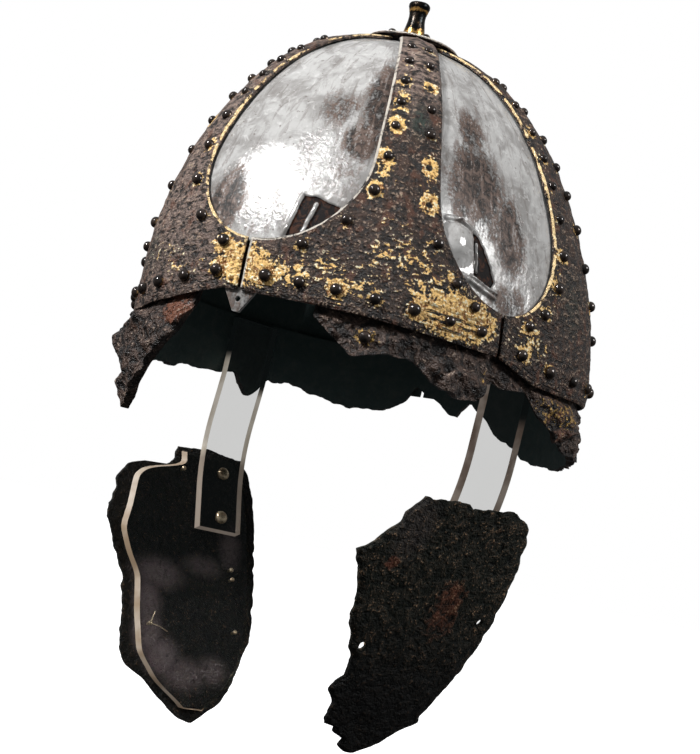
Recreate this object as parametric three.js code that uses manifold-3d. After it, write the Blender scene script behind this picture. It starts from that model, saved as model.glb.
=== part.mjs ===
// Merovingian parade helmet: six gilt copper bands riveted over silvered iron plates, the remains of
// an iron brow band, a plume holder on an apex disc, and two iron cheek pieces on clear acrylic straps.
// Millimetres and degrees. +Z is up, the front faces -Y and the wearer's left is +X.
// The origin is the centre of the rim, at the lower edge of the front-left band.
import * as THREE from 'three';
import { mergeVertices } from 'three/addons/utils/BufferGeometryUtils.js';
import Module from 'manifold-3d';

const wasm = await Module();
wasm.setup();

// Dome
const CLEARANCE = 0.3;
const LAYER_GAP = 0.75;
const RIM_RADIUS = 107;
const PLAN_RATIO = 0.972;
const DOME_HEIGHT = 149.5;
const RADIUS_POWER = 2.05;
const HEIGHT_POWER = 1.94;
const CORNER_SWELL = 0.024;
const APEX_SHIFT = { x: -3.3, y: -4.1 };
const RIM_BOW = 2;
const REAR_BULGE = { angle: 143, size: 4 };
const SLOPE_STEP = 0.05;
const WELD_DISTANCE = 1e-4;

// Bands, each with its foot running from seam to seam along the rim
const BAND_THICKNESS = 1.5;
const BAND_TOP_HEIGHT = 147.6;
const BAND_TOP_HALF_WIDTH = 8.2;
const BAND_WIDENING = 0.085;
const WINDOW_CORNER_HEIGHT = 45;
const SEAM_GAP = 1.6;
const BAND_COLUMNS = 6;
const UPPER_ROWS = [56, 76, 100, 122, 138];
const BAND_ROWS = [4, 17, 19.5, 22.5, 25.5, 31, 41, ...UPPER_ROWS, BAND_TOP_HEIGHT];

// Lower edge of the bands: one row for each turn, with straight runs between them all the way round
const RIM_EDGE = [
  { angle: -31, bottom: -12 }, { angle: -8, bottom: -12 }, { angle: 5, bottom: -8 }, { angle: 20, bottom: 0 },
  { angle: 89, bottom: 0 }, { angle: 100, bottom: -7 }, { angle: 110, bottom: -8 },
  { angle: 270, bottom: -8 }, { angle: 329, bottom: -12 },
];

// One row for each band and for the plate that follows it, counted from the front towards the left
const LAYOUT = [
  { band: 'band_front', centre: -5, seam: 24, sill: 23.5, plate: 'plate_front_left' },
  { band: 'band_front_left', centre: 59, seam: 89, sill: 18.5, plate: 'plate_left' },
  { band: 'band_back_left', centre: 115, seam: 148, sill: 21, plate: 'plate_back_left' },
  { band: 'band_back', centre: 180, seam: 212, sill: 21, plate: 'plate_back_right' },
  { band: 'band_back_right', centre: 242, seam: 271, sill: 21, plate: 'plate_right' },
  { band: 'band_front_right', centre: 300, seam: 329, sill: 21, plate: 'plate_front_right' },
];

// Rivets
const RIVET_RADIUS = 3.4;
const RIVET_CROWN_RADIUS = 2;
const RIVET_HEIGHT = 2.1;
const RIVET_SINK = 1.3;
const RIVET_SIDES = 5;
const RIVET_PITCH = 23;
const FOOT_ROW_PITCH = 17;
const RIVET_EDGE_INSET = 6;
const FOOT_ROW_HEIGHT = 8.7;
const FOOT_ROW_END_INSET = 4.7;
const RIVET_TOP_HEIGHT = 143;
const EDGE_STEPS = 90;
const EDGE_CROWDING = 1.6;

// Plates
const PLATE_THICKNESS = 1.8;
const PLATE_LAP = 6.5;
const PLATE_TOP_HEIGHT = 147;
const PLATE_FOOT_HEIGHT = 3;
const PLATE_FOOT_HALF_WIDTH = 9;
const TONGUE_TIP_HEIGHT = -9;
const TONGUE_TIP_HALF_WIDTH = 1.5;
const PLATE_LAP_HEIGHT = 16;
const PLATE_CENTRE_MARGIN = 0.06;
const PLATE_COLUMNS = 5;
const PLATE_ROWS = [
  PLATE_FOOT_HEIGHT, 7, 11, PLATE_LAP_HEIGHT, 31, ...UPPER_ROWS, PLATE_TOP_HEIGHT,
];
const TONGUED_PLATE = 'plate_front_left';
const TONGUE_HOLE_RADIUS = 1.4;
const TONGUE_HOLE_HEIGHT = -3.5;
const TONGUE_HOLE_LENGTH = 12;
const HOLE_SIDES = 8;

// Brow band, with one row for each turn of its corroded lower edge and a gap at the front left
const BROW_THICKNESS = 2.5;
const BROW_DEPTH = BAND_THICKNESS + PLATE_THICKNESS + 2 * LAYER_GAP;
const BROW_TOP_HEIGHT = 14;
const BROW_STEP = 7;
const BROW_FLARE = 3.4;
const BROW_FLARE_DROP = 25;
const BROW_EDGE = [
  { angle: 43, bottom: -3 }, { angle: 47, bottom: -9 }, { angle: 53, bottom: -16 },
  { angle: 67, bottom: -12 }, { angle: 73, bottom: -18 }, { angle: 80, bottom: -22 },
  { angle: 86, bottom: -21 }, { angle: 88.5, bottom: -12 }, { angle: 101, bottom: -10 },
  { angle: 105, bottom: -19 }, { angle: 113, bottom: -27 }, { angle: 124, bottom: -33 },
  { angle: 136, bottom: -36 }, { angle: 150, bottom: -37 }, { angle: 164, bottom: -36 },
  { angle: 175, bottom: -32 }, { angle: 187, bottom: -22 }, { angle: 196, bottom: -7 },
  { angle: 200, bottom: -16 }, { angle: 206, bottom: -11 }, { angle: 213, bottom: -4 },
  { angle: 216, bottom: -12 }, { angle: 226, bottom: -20 }, { angle: 238, bottom: -18 },
  { angle: 252, bottom: -14 }, { angle: 259, bottom: -15 }, { angle: 262, bottom: -26 },
  { angle: 267, bottom: -25 }, { angle: 270, bottom: -16 }, { angle: 283, bottom: -18 },
  { angle: 297, bottom: -22 }, { angle: 314, bottom: -24 }, { angle: 331, bottom: -27 },
  { angle: 343, bottom: -36 }, { angle: 351, bottom: -58 }, { angle: 356, bottom: -50 },
  { angle: 361, bottom: -39 }, { angle: 366, bottom: -28 }, { angle: 370, bottom: -18 },
  { angle: 372.5, bottom: -8 },
];

// Apex disc and plume holder
const DISC_RADIUS = 21.5;
const DISC_THICKNESS = 1.3;
const DISC_CROWN = 1.2;
const DISC_SEAT = BAND_TOP_HEIGHT + LAYER_GAP;
const DISC_SIDES = 18;
const DISC_RINGS = [1, 0.5, 0];
const PLUME_SIDES = 10;
const PLUME_BORE_RADIUS = 3.2;
const PLUME_PROFILE = [
  { radius: 6.4, height: 0 }, { radius: 6.4, height: 1.2 }, { radius: 5.4, height: 2.2 },
  { radius: 5.6, height: 4.5 }, { radius: 4.4, height: 7 }, { radius: 4.0, height: 11 },
  { radius: 4.0, height: 12.8 }, { radius: 4.9, height: 13.4 }, { radius: 4.9, height: 15.4 },
  { radius: 4.3, height: 16 }, { radius: 4.7, height: 18.5 },
];

// Cheek pieces: one row for each station down the plate, with its front and back edges along Y
const CHEEK_THICKNESS = 2.6;
const CHEEK_TOP_X = 102;
const CHEEK_TOP_Z = -61;
const CHEEK_LEAN = 0.4;
const CHEEK_BULGE = 3;
const CHEEK_HALF_WIDTH = 45;
const CHEEK_COLUMNS = 3;
const LEFT_CHEEK = [
  { z: -64, front: -12, back: 30 }, { z: -70, front: -20, back: 41 }, { z: -78, front: -26, back: 44 },
  { z: -92, front: -38, back: 47 }, { z: -104, front: -33, back: 48 }, { z: -120, front: -28, back: 48 },
  { z: -136, front: -18, back: 45 }, { z: -150, front: -19, back: 40 }, { z: -160, front: -15, back: 34 },
  { z: -168, front: -10, back: 23 }, { z: -176, front: 2, back: 8 },
];
const RIGHT_CHEEK = [
  { z: -61, front: -28, back: 10 }, { z: -72, front: -28, back: 18 }, { z: -74, front: -48, back: 18 },
  { z: -80, front: -58, back: 20 }, { z: -96, front: -62, back: 22 }, { z: -107, front: -66, back: 22 },
  { z: -118, front: -62, back: 22 }, { z: -128, front: -56, back: 22 }, { z: -145, front: -56, back: 20 },
  { z: -163, front: -54, back: 16 }, { z: -175, front: -44, back: 8 }, { z: -184, front: -30, back: -4 },
  { z: -190, front: -20, back: -14 },
];
const CHEEK_HOLE_LENGTH = 20;
const LEFT_CHEEK_HOLES = [
  { y: -15, z: -132, radius: 1.8 }, { y: 40, z: -113, radius: 1.3 },
];

// Acrylic backing sheets behind the cheek pieces and the straps that carry them
const BACKING_THICKNESS = 3;
const BACKING_INSET = { front: 6, back: 3, top: 3, bottom: 4 };
const BACKING_LEAST_WIDTH = 1;
const BACKING_DEPTH = CHEEK_THICKNESS + CLEARANCE;
const BACKING_BACK = BACKING_DEPTH + BACKING_THICKNESS;
const STRAP_THICKNESS = 5;
const STRAP_WIDTH = 25;
const STRAP_TOP_Z = 10;
const STRAP_BEND_Z = -20;
const STRAP_KNEE_Z = -62;
const STRAP_BOTTOM_Z = -101;

// Screws that pin each strap to its backing sheet
const SCREW_HEAD_RADIUS = 3.8;
const SCREW_CROWN_RADIUS = 2.7;
const SCREW_HEAD_HEIGHT = 1.8;
const SCREW_SHANK_RADIUS = 2;
const SCREW_SIDES = 8;
const SCREW_HOLE_LENGTH = 40;
const SCREWS = [{ label: 'upper', z: -71 }, { label: 'lower', z: -93 }];

// The two cheek pieces, with the Y of each strap's middle at its top and at its foot
const CHEEKS = [
  { label: 'left', side: 1, stations: LEFT_CHEEK, holes: LEFT_CHEEK_HOLES, strapTopY: 17, strapFootY: 12 },
  { label: 'right', side: -1, stations: RIGHT_CHEEK, holes: [], strapTopY: 1.5, strapFootY: -3 },
];

const UP = new THREE.Vector3(0, 0, 1);
const rad = THREE.MathUtils.degToRad;

// Point of the dome at an angle from the front and a height over the rim. The plan is a rounded hexagon,
// bulged at the rear left, and below the rim the wall goes straight down.
function domeSurface(angle, height) {
  const rise = THREE.MathUtils.clamp(height / DOME_HEIGHT, 0, 1);
  const shrink = Math.pow(1 - Math.pow(rise, HEIGHT_POWER), 1 / RADIUS_POWER);
  const turn = rad(angle);
  const towards = Math.max(0, Math.cos(turn - rad(REAR_BULGE.angle)));
  const bulge = REAR_BULGE.size * towards * towards * (1 - rise) * (1 - rise);
  const radius = RIM_RADIUS * shrink * (1 + CORNER_SWELL * Math.cos(6 * turn)) + bulge;
  return new THREE.Vector3(
    radius * Math.sin(turn) * PLAN_RATIO + APEX_SHIFT.x * rise,
    -radius * Math.cos(turn) / PLAN_RATIO + APEX_SHIFT.y * rise,
    height + RIM_BOW * Math.cos(2 * turn) * (1 - rise),
  );
}

function domeNormal(angle, height) {
  const along = domeSurface(angle + SLOPE_STEP, height).sub(domeSurface(angle - SLOPE_STEP, height));
  const up = domeSurface(angle, height + SLOPE_STEP).sub(domeSurface(angle, height - SLOPE_STEP));
  return along.cross(up).normalize();
}

// Point sunk below the dome by a depth along its normal
function domePoint(angle, height, depth) {
  return domeSurface(angle, height).addScaledVector(domeNormal(angle, height), -depth);
}

// Degrees along the dome that make one millimetre at this angle and height
function degreesPerMillimetre(angle, height) {
  const span = domeSurface(angle + SLOPE_STEP, height).distanceTo(domeSurface(angle - SLOPE_STEP, height));
  return 2 * SLOPE_STEP / span;
}

// Closed solid between two matching grids of points, turned so that its faces point out
function sheetSolid(outer, inner) {
  const rows = outer.length;
  const columns = outer[0].length;
  const positions = [...outer.flat(), ...inner.flat()].flatMap((point) => point.toArray());
  const index = [];
  const top = (row, column) => row * columns + column;
  const under = (row, column) => rows * columns + top(row, column);
  const quad = (a, b, c, d) => index.push(a, b, c, a, c, d);
  for (let row = 0; row + 1 < rows; row += 1) {
    for (let column = 0; column + 1 < columns; column += 1) {
      quad(top(row, column), top(row, column + 1), top(row + 1, column + 1), top(row + 1, column));
      quad(under(row, column), under(row + 1, column), under(row + 1, column + 1), under(row, column + 1));
    }
    const last = columns - 1;
    quad(top(row, 0), top(row + 1, 0), under(row + 1, 0), under(row, 0));
    quad(top(row + 1, last), top(row, last), under(row, last), under(row + 1, last));
  }
  for (let column = 0; column + 1 < columns; column += 1) {
    const last = rows - 1;
    quad(top(0, column + 1), top(0, column), under(0, column), under(0, column + 1));
    quad(top(last, column), top(last, column + 1), under(last, column + 1), under(last, column));
  }
  const geometry = new THREE.BufferGeometry();
  geometry.setAttribute('position', new THREE.Float32BufferAttribute(positions, 3));
  geometry.setIndex(index);
  return facesOut(geometry);
}

function facesOut(geometry) {
  const position = geometry.getAttribute('position');
  const index = geometry.getIndex().array;
  const corner = [new THREE.Vector3(), new THREE.Vector3(), new THREE.Vector3()];
  let volume = 0;
  for (let start = 0; start < index.length; start += 3) {
    corner.forEach((point, place) => point.fromBufferAttribute(position, index[start + place]));
    volume += corner[0].dot(corner[1].clone().cross(corner[2])) / 6;
  }
  if (volume < 0) {
    for (let start = 0; start < index.length; start += 3) {
      [index[start + 1], index[start + 2]] = [index[start + 2], index[start + 1]];
    }
  }
  return geometry;
}

// Joins and cuts of closed geometries
function toManifold(geometry) {
  const bare = geometry.clone();
  bare.deleteAttribute('normal');
  bare.deleteAttribute('uv');
  const merged = mergeVertices(bare, WELD_DISTANCE);
  return new wasm.Manifold(new wasm.Mesh({
    numProp: 3,
    vertProperties: new Float32Array(merged.getAttribute('position').array),
    triVerts: new Uint32Array(merged.getIndex().array),
  }));
}

function fromManifold(solid) {
  const mesh = solid.getMesh();
  const geometry = new THREE.BufferGeometry();
  geometry.setAttribute('position', new THREE.Float32BufferAttribute(mesh.vertProperties, 3));
  geometry.setIndex(Array.from(mesh.triVerts));
  return geometry;
}

function join(base, additions) {
  return fromManifold(additions.reduce((solid, piece) => solid.add(toManifold(piece)), toManifold(base)));
}

function cut(base, tools) {
  return fromManifold(tools.reduce((solid, piece) => solid.subtract(toManifold(piece)), toManifold(base)));
}

// Solid of revolution about a line through a point, from rows of radius and height along the line
function turned(profile, sides, point, direction) {
  const outline = profile.map((row) => new THREE.Vector2(row.radius, row.height));
  const geometry = new THREE.LatheGeometry(outline, sides);
  const turn = new THREE.Quaternion().setFromUnitVectors(new THREE.Vector3(0, 1, 0), direction);
  geometry.applyQuaternion(turn);
  geometry.translate(point.x, point.y, point.z);
  geometry.deleteAttribute('normal');
  geometry.deleteAttribute('uv');
  return facesOut(mergeVertices(geometry, WELD_DISTANCE));
}

function cylinder(radius, length, sides, point, direction) {
  const profile = [
    { radius: 0, height: -length / 2 }, { radius, height: -length / 2 },
    { radius, height: length / 2 }, { radius: 0, height: length / 2 },
  ];
  return turned(profile, sides, point, direction);
}

// Angle of a band's edge on one side, where side is -1 towards the front seam and +1 towards the next
function bandEdge(row, seam, sill, side, height) {
  const limit = seam - side * (SEAM_GAP / 2) * degreesPerMillimetre(seam, height);
  if (height <= sill) {
    return limit;
  }
  const halfWidth = BAND_TOP_HALF_WIDTH + BAND_WIDENING * (BAND_TOP_HEIGHT - height);
  const straight = row.centre + side * halfWidth * degreesPerMillimetre(row.centre, height);
  const climb = Math.min(1, (height - sill) / WINDOW_CORNER_HEIGHT);
  const corner = Math.sqrt(1 - (1 - climb) * (1 - climb));
  const edge = seam + (straight - seam) * corner;
  return side > 0 ? Math.min(edge, limit) : Math.max(edge, limit);
}

// The seam and the window sill on either side of a band
function sidesOf(place) {
  const row = LAYOUT[place];
  const before = LAYOUT[(place + LAYOUT.length - 1) % LAYOUT.length];
  const turnBack = place === 0 ? 360 : 0;
  return [
    { side: -1, seam: before.seam - turnBack, sill: before.sill },
    { side: 1, seam: row.seam, sill: row.sill },
  ];
}

function rivet(angle, height) {
  const profile = [
    { radius: 0, height: -RIVET_SINK }, { radius: RIVET_RADIUS, height: -RIVET_SINK },
    { radius: RIVET_CROWN_RADIUS, height: RIVET_HEIGHT }, { radius: 0, height: RIVET_HEIGHT },
  ];
  return turned(profile, RIVET_SIDES, domeSurface(angle, height), domeNormal(angle, height));
}

// A place moved from a window's edge towards the middle of the band
function insetPlace({ angle, height }, run, side) {
  const inward = domeNormal(angle, height).cross(run).multiplyScalar(side);
  const across = domeSurface(angle + SLOPE_STEP, height).sub(domeSurface(angle - SLOPE_STEP, height));
  const climb = domeSurface(angle, height + SLOPE_STEP).sub(domeSurface(angle, height - SLOPE_STEP));
  const reach = RIVET_EDGE_INSET * 2 * SLOPE_STEP;
  return {
    angle: angle + inward.dot(across) / across.lengthSq() * reach,
    height: height + inward.dot(climb) / climb.lengthSq() * reach,
  };
}

// Rivets at an even pitch along the window's edge
function edgeRivets(row, { side, seam, sill }) {
  const found = [];
  let travelled = RIVET_PITCH / 2;
  let previous = null;
  for (let step = 1; step <= EDGE_STEPS; step += 1) {
    const height = THREE.MathUtils.lerp(sill, BAND_TOP_HEIGHT, Math.pow(step / EDGE_STEPS, EDGE_CROWDING));
    const angle = bandEdge(row, seam, sill, side, height);
    const point = domeSurface(angle, height);
    travelled += previous ? point.distanceTo(previous) : 0;
    if (travelled >= RIVET_PITCH) {
      travelled -= RIVET_PITCH;
      const run = point.clone().sub(previous).normalize();
      found.push(insetPlace({ angle, height }, run, side));
    }
    previous = point;
  }
  return found.filter(({ height }) => height < RIVET_TOP_HEIGHT);
}

// Height of the bands' lower edge at an angle
function rimBottom(angle) {
  const first = RIM_EDGE[0].angle;
  const turned = THREE.MathUtils.euclideanModulo(angle - first, 360) + first;
  const after = RIM_EDGE.findIndex((row, place) => place > 0 && row.angle >= turned);
  const [low, high] = [RIM_EDGE[after - 1], RIM_EDGE[after]];
  return THREE.MathUtils.mapLinear(turned, low.angle, high.angle, low.bottom, high.bottom);
}

// Rivets in a row along the foot of a band
function footRivets(from, to) {
  const start = from + FOOT_ROW_END_INSET;
  const span = to - FOOT_ROW_END_INSET - start;
  const count = Math.round(span / (FOOT_ROW_PITCH * degreesPerMillimetre(start, FOOT_ROW_HEIGHT)));
  return Array.from({ length: count + 1 }, (unused, place) => {
    const angle = start + span * place / count;
    return { angle, height: rimBottom(angle) + FOOT_ROW_HEIGHT };
  });
}

function band(place) {
  const row = LAYOUT[place];
  const [left, right] = sidesOf(place);
  const angles = (height) => {
    const from = bandEdge(row, left.seam, left.sill, left.side, height);
    const to = bandEdge(row, right.seam, right.sill, right.side, height);
    return Array.from({ length: BAND_COLUMNS + 1 }, (unused, column) => (
      THREE.MathUtils.lerp(from, to, column / BAND_COLUMNS)
    ));
  };
  const grid = (depth) => [
    angles(0).map((angle) => domePoint(angle, rimBottom(angle), depth)),
    ...BAND_ROWS.map((height) => angles(height).map((angle) => domePoint(angle, height, depth))),
  ];
  const places = [
    ...edgeRivets(row, left), ...edgeRivets(row, right), ...footRivets(left.seam, right.seam),
  ];
  const heads = places.map(({ angle, height }) => rivet(angle, height));
  return join(sheetSolid(grid(0), grid(BAND_THICKNESS)), heads);
}

// Leaf-shaped plate that laps behind the bands on both sides. One ends below the rim in a pointed tongue.
function plate(place) {
  const row = LAYOUT[place];
  const next = LAYOUT[(place + 1) % LAYOUT.length];
  const nextCentre = next.centre < row.centre ? next.centre + 360 : next.centre;
  const tongued = row.plate === TONGUED_PLATE;
  const outer = BAND_THICKNESS + LAYER_GAP;
  const edge = (owner, centre, side, height) => {
    if (height <= PLATE_FOOT_HEIGHT) {
      const halfWidth = height < 0 ? TONGUE_TIP_HALF_WIDTH : PLATE_FOOT_HALF_WIDTH;
      return row.seam + side * halfWidth * degreesPerMillimetre(row.seam, height);
    }
    const lapped = Math.max(height, PLATE_LAP_HEIGHT + WINDOW_CORNER_HEIGHT / 2);
    const window = bandEdge({ ...owner, centre }, row.seam, row.sill, -side, lapped);
    const full = window + side * PLATE_LAP * degreesPerMillimetre(window, lapped);
    const swell = Math.min(1, height / PLATE_LAP_HEIGHT);
    const reach = row.seam + (full - row.seam) * swell;
    const limit = THREE.MathUtils.lerp(centre, row.seam, PLATE_CENTRE_MARGIN);
    return side > 0 ? Math.min(reach, limit) : Math.max(reach, limit);
  };
  const rows = tongued ? [TONGUE_TIP_HEIGHT, ...PLATE_ROWS] : PLATE_ROWS;
  const grid = (depth) => rows.map((height) => {
    const from = edge(row, row.centre, -1, height);
    const to = edge(next, nextCentre, 1, height);
    return Array.from({ length: PLATE_COLUMNS + 1 }, (unused, column) => (
      domePoint(THREE.MathUtils.lerp(from, to, column / PLATE_COLUMNS), height, depth)
    ));
  });
  const sheet = sheetSolid(grid(outer), grid(outer + PLATE_THICKNESS));
  return tongued ? cut(sheet, [tongueHole(row)]) : sheet;
}

// Rivet hole in the tongue of a plate, which shows where the brow band is lost
function tongueHole({ seam }) {
  const middle = domeSurface(seam, TONGUE_HOLE_HEIGHT);
  const direction = domeNormal(seam, TONGUE_HOLE_HEIGHT);
  return cylinder(TONGUE_HOLE_RADIUS, TONGUE_HOLE_LENGTH, HOLE_SIDES, middle, direction);
}

// The rows of the lower edge, with wide stretches split so that the wall stays round
function browColumns() {
  return BROW_EDGE.flatMap((row, place) => {
    const next = BROW_EDGE[place + 1];
    const steps = next ? Math.ceil((next.angle - row.angle) / BROW_STEP) : 1;
    return Array.from({ length: steps }, (unused, step) => ({
      angle: THREE.MathUtils.lerp(row.angle, next?.angle ?? row.angle, step / steps),
      bottom: THREE.MathUtils.lerp(row.bottom, next?.bottom ?? row.bottom, step / steps),
    }));
  });
}

function browBand() {
  const columns = browColumns();
  const flare = (height) => BROW_FLARE * THREE.MathUtils.clamp(-height / BROW_FLARE_DROP, 0, 1);
  const grid = (depth) => columns.map(({ angle, bottom }) => [bottom, 0, BROW_TOP_HEIGHT].map((height) => (
    domePoint(angle, height, depth - flare(height))
  )));
  return sheetSolid(grid(BROW_DEPTH), grid(BROW_DEPTH + BROW_THICKNESS));
}

// Thin disc, flat below and slightly domed above, that sits on the upper ends of the bands
function apexDisc() {
  const profile = [
    { radius: 0, height: DISC_SEAT }, { radius: DISC_RADIUS, height: DISC_SEAT },
  ];
  const crown = DISC_RINGS.map((share) => ({
    radius: DISC_RADIUS * share,
    height: DISC_SEAT + DISC_THICKNESS + DISC_CROWN * (1 - share * share),
  }));
  return turned([...profile, ...crown], DISC_SIDES, new THREE.Vector3(APEX_SHIFT.x, APEX_SHIFT.y, 0), UP);
}

// Baluster tube that held a plume, open at its top
function plumeHolder() {
  const seat = DISC_SEAT + DISC_THICKNESS + DISC_CROWN + CLEARANCE;
  const top = PLUME_PROFILE[PLUME_PROFILE.length - 1].height;
  const bore = [{ radius: PLUME_BORE_RADIUS, height: top }, { radius: PLUME_BORE_RADIUS, height: 0 }];
  const closing = [PLUME_PROFILE[0]];
  const point = new THREE.Vector3(APEX_SHIFT.x, APEX_SHIFT.y, seat);
  return turned([...PLUME_PROFILE, ...bore, ...closing], PLUME_SIDES, point, UP);
}

// Point of a cheek piece at a station, sunk towards the face by a depth. Side is +1 left, -1 right.
function cheekPoint(side, y, z, depth) {
  const lean = CHEEK_LEAN * (CHEEK_TOP_Z - z);
  const bulge = CHEEK_BULGE * Math.pow(y / CHEEK_HALF_WIDTH, 2);
  return new THREE.Vector3(side * (CHEEK_TOP_X - lean - bulge - depth), y, z);
}

const cheekNormal = (side) => new THREE.Vector3(side, 0, -CHEEK_LEAN).normalize();

function cheekSheet(side, stations, depth, thickness) {
  const grid = (level) => stations.map(({ z, front, back }) => (
    Array.from({ length: CHEEK_COLUMNS + 1 }, (unused, column) => (
      cheekPoint(side, THREE.MathUtils.lerp(front, back, column / CHEEK_COLUMNS), z, level)
    ))
  ));
  return sheetSolid(grid(depth), grid(depth + thickness));
}

function cheekPiece({ side, stations, holes }) {
  const sheet = cheekSheet(side, stations, 0, CHEEK_THICKNESS);
  const tools = holes.map(({ y, z, radius }) => (
    cylinder(radius, CHEEK_HOLE_LENGTH, HOLE_SIDES, cheekPoint(side, y, z, 0), cheekNormal(side))
  ));
  return tools.length ? cut(sheet, tools) : sheet;
}

// Y of a strap's middle at a height: upright along the wall, then swung towards its foot
function strapMiddle({ strapTopY, strapFootY }, z) {
  const swing = THREE.MathUtils.clamp((STRAP_BEND_Z - z) / (STRAP_BEND_Z - STRAP_BOTTOM_Z), 0, 1);
  return THREE.MathUtils.lerp(strapTopY, strapFootY, swing);
}

// Outer face of a strap: flat on the brow band's inner face, out to the knee, then down the backing sheet
function strapFace(cheek) {
  const edges = (z) => [-1, 1].map((half) => strapMiddle(cheek, z) + half * STRAP_WIDTH / 2);
  const wallDepth = BROW_DEPTH + BROW_THICKNESS;
  const wall = edges(STRAP_TOP_Z).map((y) => {
    const angle = 90 + THREE.MathUtils.radToDeg(Math.asin(y / (RIM_RADIUS - wallDepth)));
    return domePoint(angle, STRAP_TOP_Z, wallDepth).x;
  });
  const wallX = Math.min(...wall) - LAYER_GAP;
  const sheetX = (z) => Math.min(...edges(z).map((y) => cheekPoint(1, y, z, BACKING_BACK).x)) - CLEARANCE;
  return [
    { x: wallX, z: STRAP_TOP_Z }, { x: wallX, z: STRAP_BEND_Z },
    { x: sheetX(STRAP_KNEE_Z), z: STRAP_KNEE_Z }, { x: sheetX(STRAP_BOTTOM_Z), z: STRAP_BOTTOM_Z },
  ];
}

// Where a screw's head meets the inner face of its strap
function screwSeat(cheek, { z }) {
  const [, , knee, foot] = strapFace(cheek);
  const faceX = THREE.MathUtils.mapLinear(z, knee.z, foot.z, knee.x, foot.x) - STRAP_THICKNESS;
  return new THREE.Vector3(cheek.side * faceX, strapMiddle(cheek, z), z);
}

function screwHoles(cheek) {
  const radius = SCREW_SHANK_RADIUS + CLEARANCE;
  return SCREWS.map((place) => (
    cylinder(radius, SCREW_HOLE_LENGTH, SCREW_SIDES, screwSeat(cheek, place), cheekNormal(cheek.side))
  ));
}

function backingSheet(cheek) {
  const { side, stations } = cheek;
  const top = stations[0].z - BACKING_INSET.top;
  const bottom = stations[stations.length - 1].z + BACKING_INSET.bottom;
  const inset = stations.map(({ z, front, back }) => ({
    z: THREE.MathUtils.clamp(z, bottom, top),
    front: front + BACKING_INSET.front,
    back: Math.max(back - BACKING_INSET.back, front + BACKING_INSET.front + BACKING_LEAST_WIDTH),
  }));
  return cut(cheekSheet(side, inset, BACKING_DEPTH, BACKING_THICKNESS), screwHoles(cheek));
}

function strap(cheek) {
  const face = strapFace(cheek);
  const across = (depth) => [-1, 1].map((half) => face.map(({ x, z }) => (
    new THREE.Vector3(cheek.side * (x - depth), strapMiddle(cheek, z) + half * STRAP_WIDTH / 2, z)
  )));
  return cut(sheetSolid(across(0), across(STRAP_THICKNESS)), screwHoles(cheek));
}

// Round-headed screw through the strap and the backing sheet, up to the cheek piece
function screw(cheek, place) {
  const inward = cheekNormal(cheek.side).negate();
  const seat = screwSeat(cheek, place);
  const far = cheekPoint(cheek.side, seat.y, seat.z, CHEEK_THICKNESS + CLEARANCE);
  const reach = Math.abs(seat.x - far.x) * Math.abs(inward.x);
  const profile = [
    { radius: 0, height: -reach }, { radius: SCREW_SHANK_RADIUS, height: -reach },
    { radius: SCREW_SHANK_RADIUS, height: 0 }, { radius: SCREW_HEAD_RADIUS, height: 0 },
    { radius: SCREW_CROWN_RADIUS, height: SCREW_HEAD_HEIGHT }, { radius: 0, height: SCREW_HEAD_HEIGHT },
  ];
  return turned(profile, SCREW_SIDES, seat.addScaledVector(inward, CLEARANCE), inward);
}

// Finishes
const gilt = new THREE.MeshStandardMaterial({ color: 0x5a463a, roughness: 0.55, metalness: 0.8 });
const silver = new THREE.MeshStandardMaterial({ color: 0xb9b6b4, roughness: 0.35, metalness: 0.9 });
const rust = new THREE.MeshStandardMaterial({ color: 0x2a2321, roughness: 0.85, metalness: 0.3 });
const acrylic = new THREE.MeshStandardMaterial({
  color: 0xdfe0de, roughness: 0.1, metalness: 0, transparent: true, opacity: 0.4,
});
const steel = new THREE.MeshStandardMaterial({ color: 0x8f8a80, roughness: 0.4, metalness: 0.9 });

// Assembly
const helmet = new THREE.Group();

function addPiece(name, geometry, material) {
  const mesh = new THREE.Mesh(geometry, material);
  mesh.name = name;
  helmet.add(mesh);
}

LAYOUT.forEach((row, place) => {
  addPiece(row.band, band(place), gilt);
  addPiece(row.plate, plate(place), silver);
});
addPiece('brow_band', browBand(), rust);
addPiece('apex_disc', apexDisc(), gilt);
addPiece('plume_holder', plumeHolder(), gilt);

CHEEKS.forEach((cheek) => {
  addPiece(`cheek_piece_${cheek.label}`, cheekPiece(cheek), rust);
  addPiece(`backing_sheet_${cheek.label}`, backingSheet(cheek), acrylic);
  addPiece(`strap_${cheek.label}`, strap(cheek), acrylic);
  SCREWS.forEach((place) => {
    addPiece(`screw_${cheek.label}_${place.label}`, screw(cheek, place), steel);
  });
});

export default helmet;
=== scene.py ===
# Looks of a Merovingian parade helmet: gilt bands over silver plates, corroded iron and clear acrylic.
# Millimetres and degrees unless a name says otherwise.
# +Z is up, the front faces -Y and the wearer's left is +X.
# Angles run round the helmet from the front towards the wearer's left, heights up from the rim.
import math
from collections import namedtuple

import bpy
import numpy as np
from mathutils import Matrix


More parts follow.
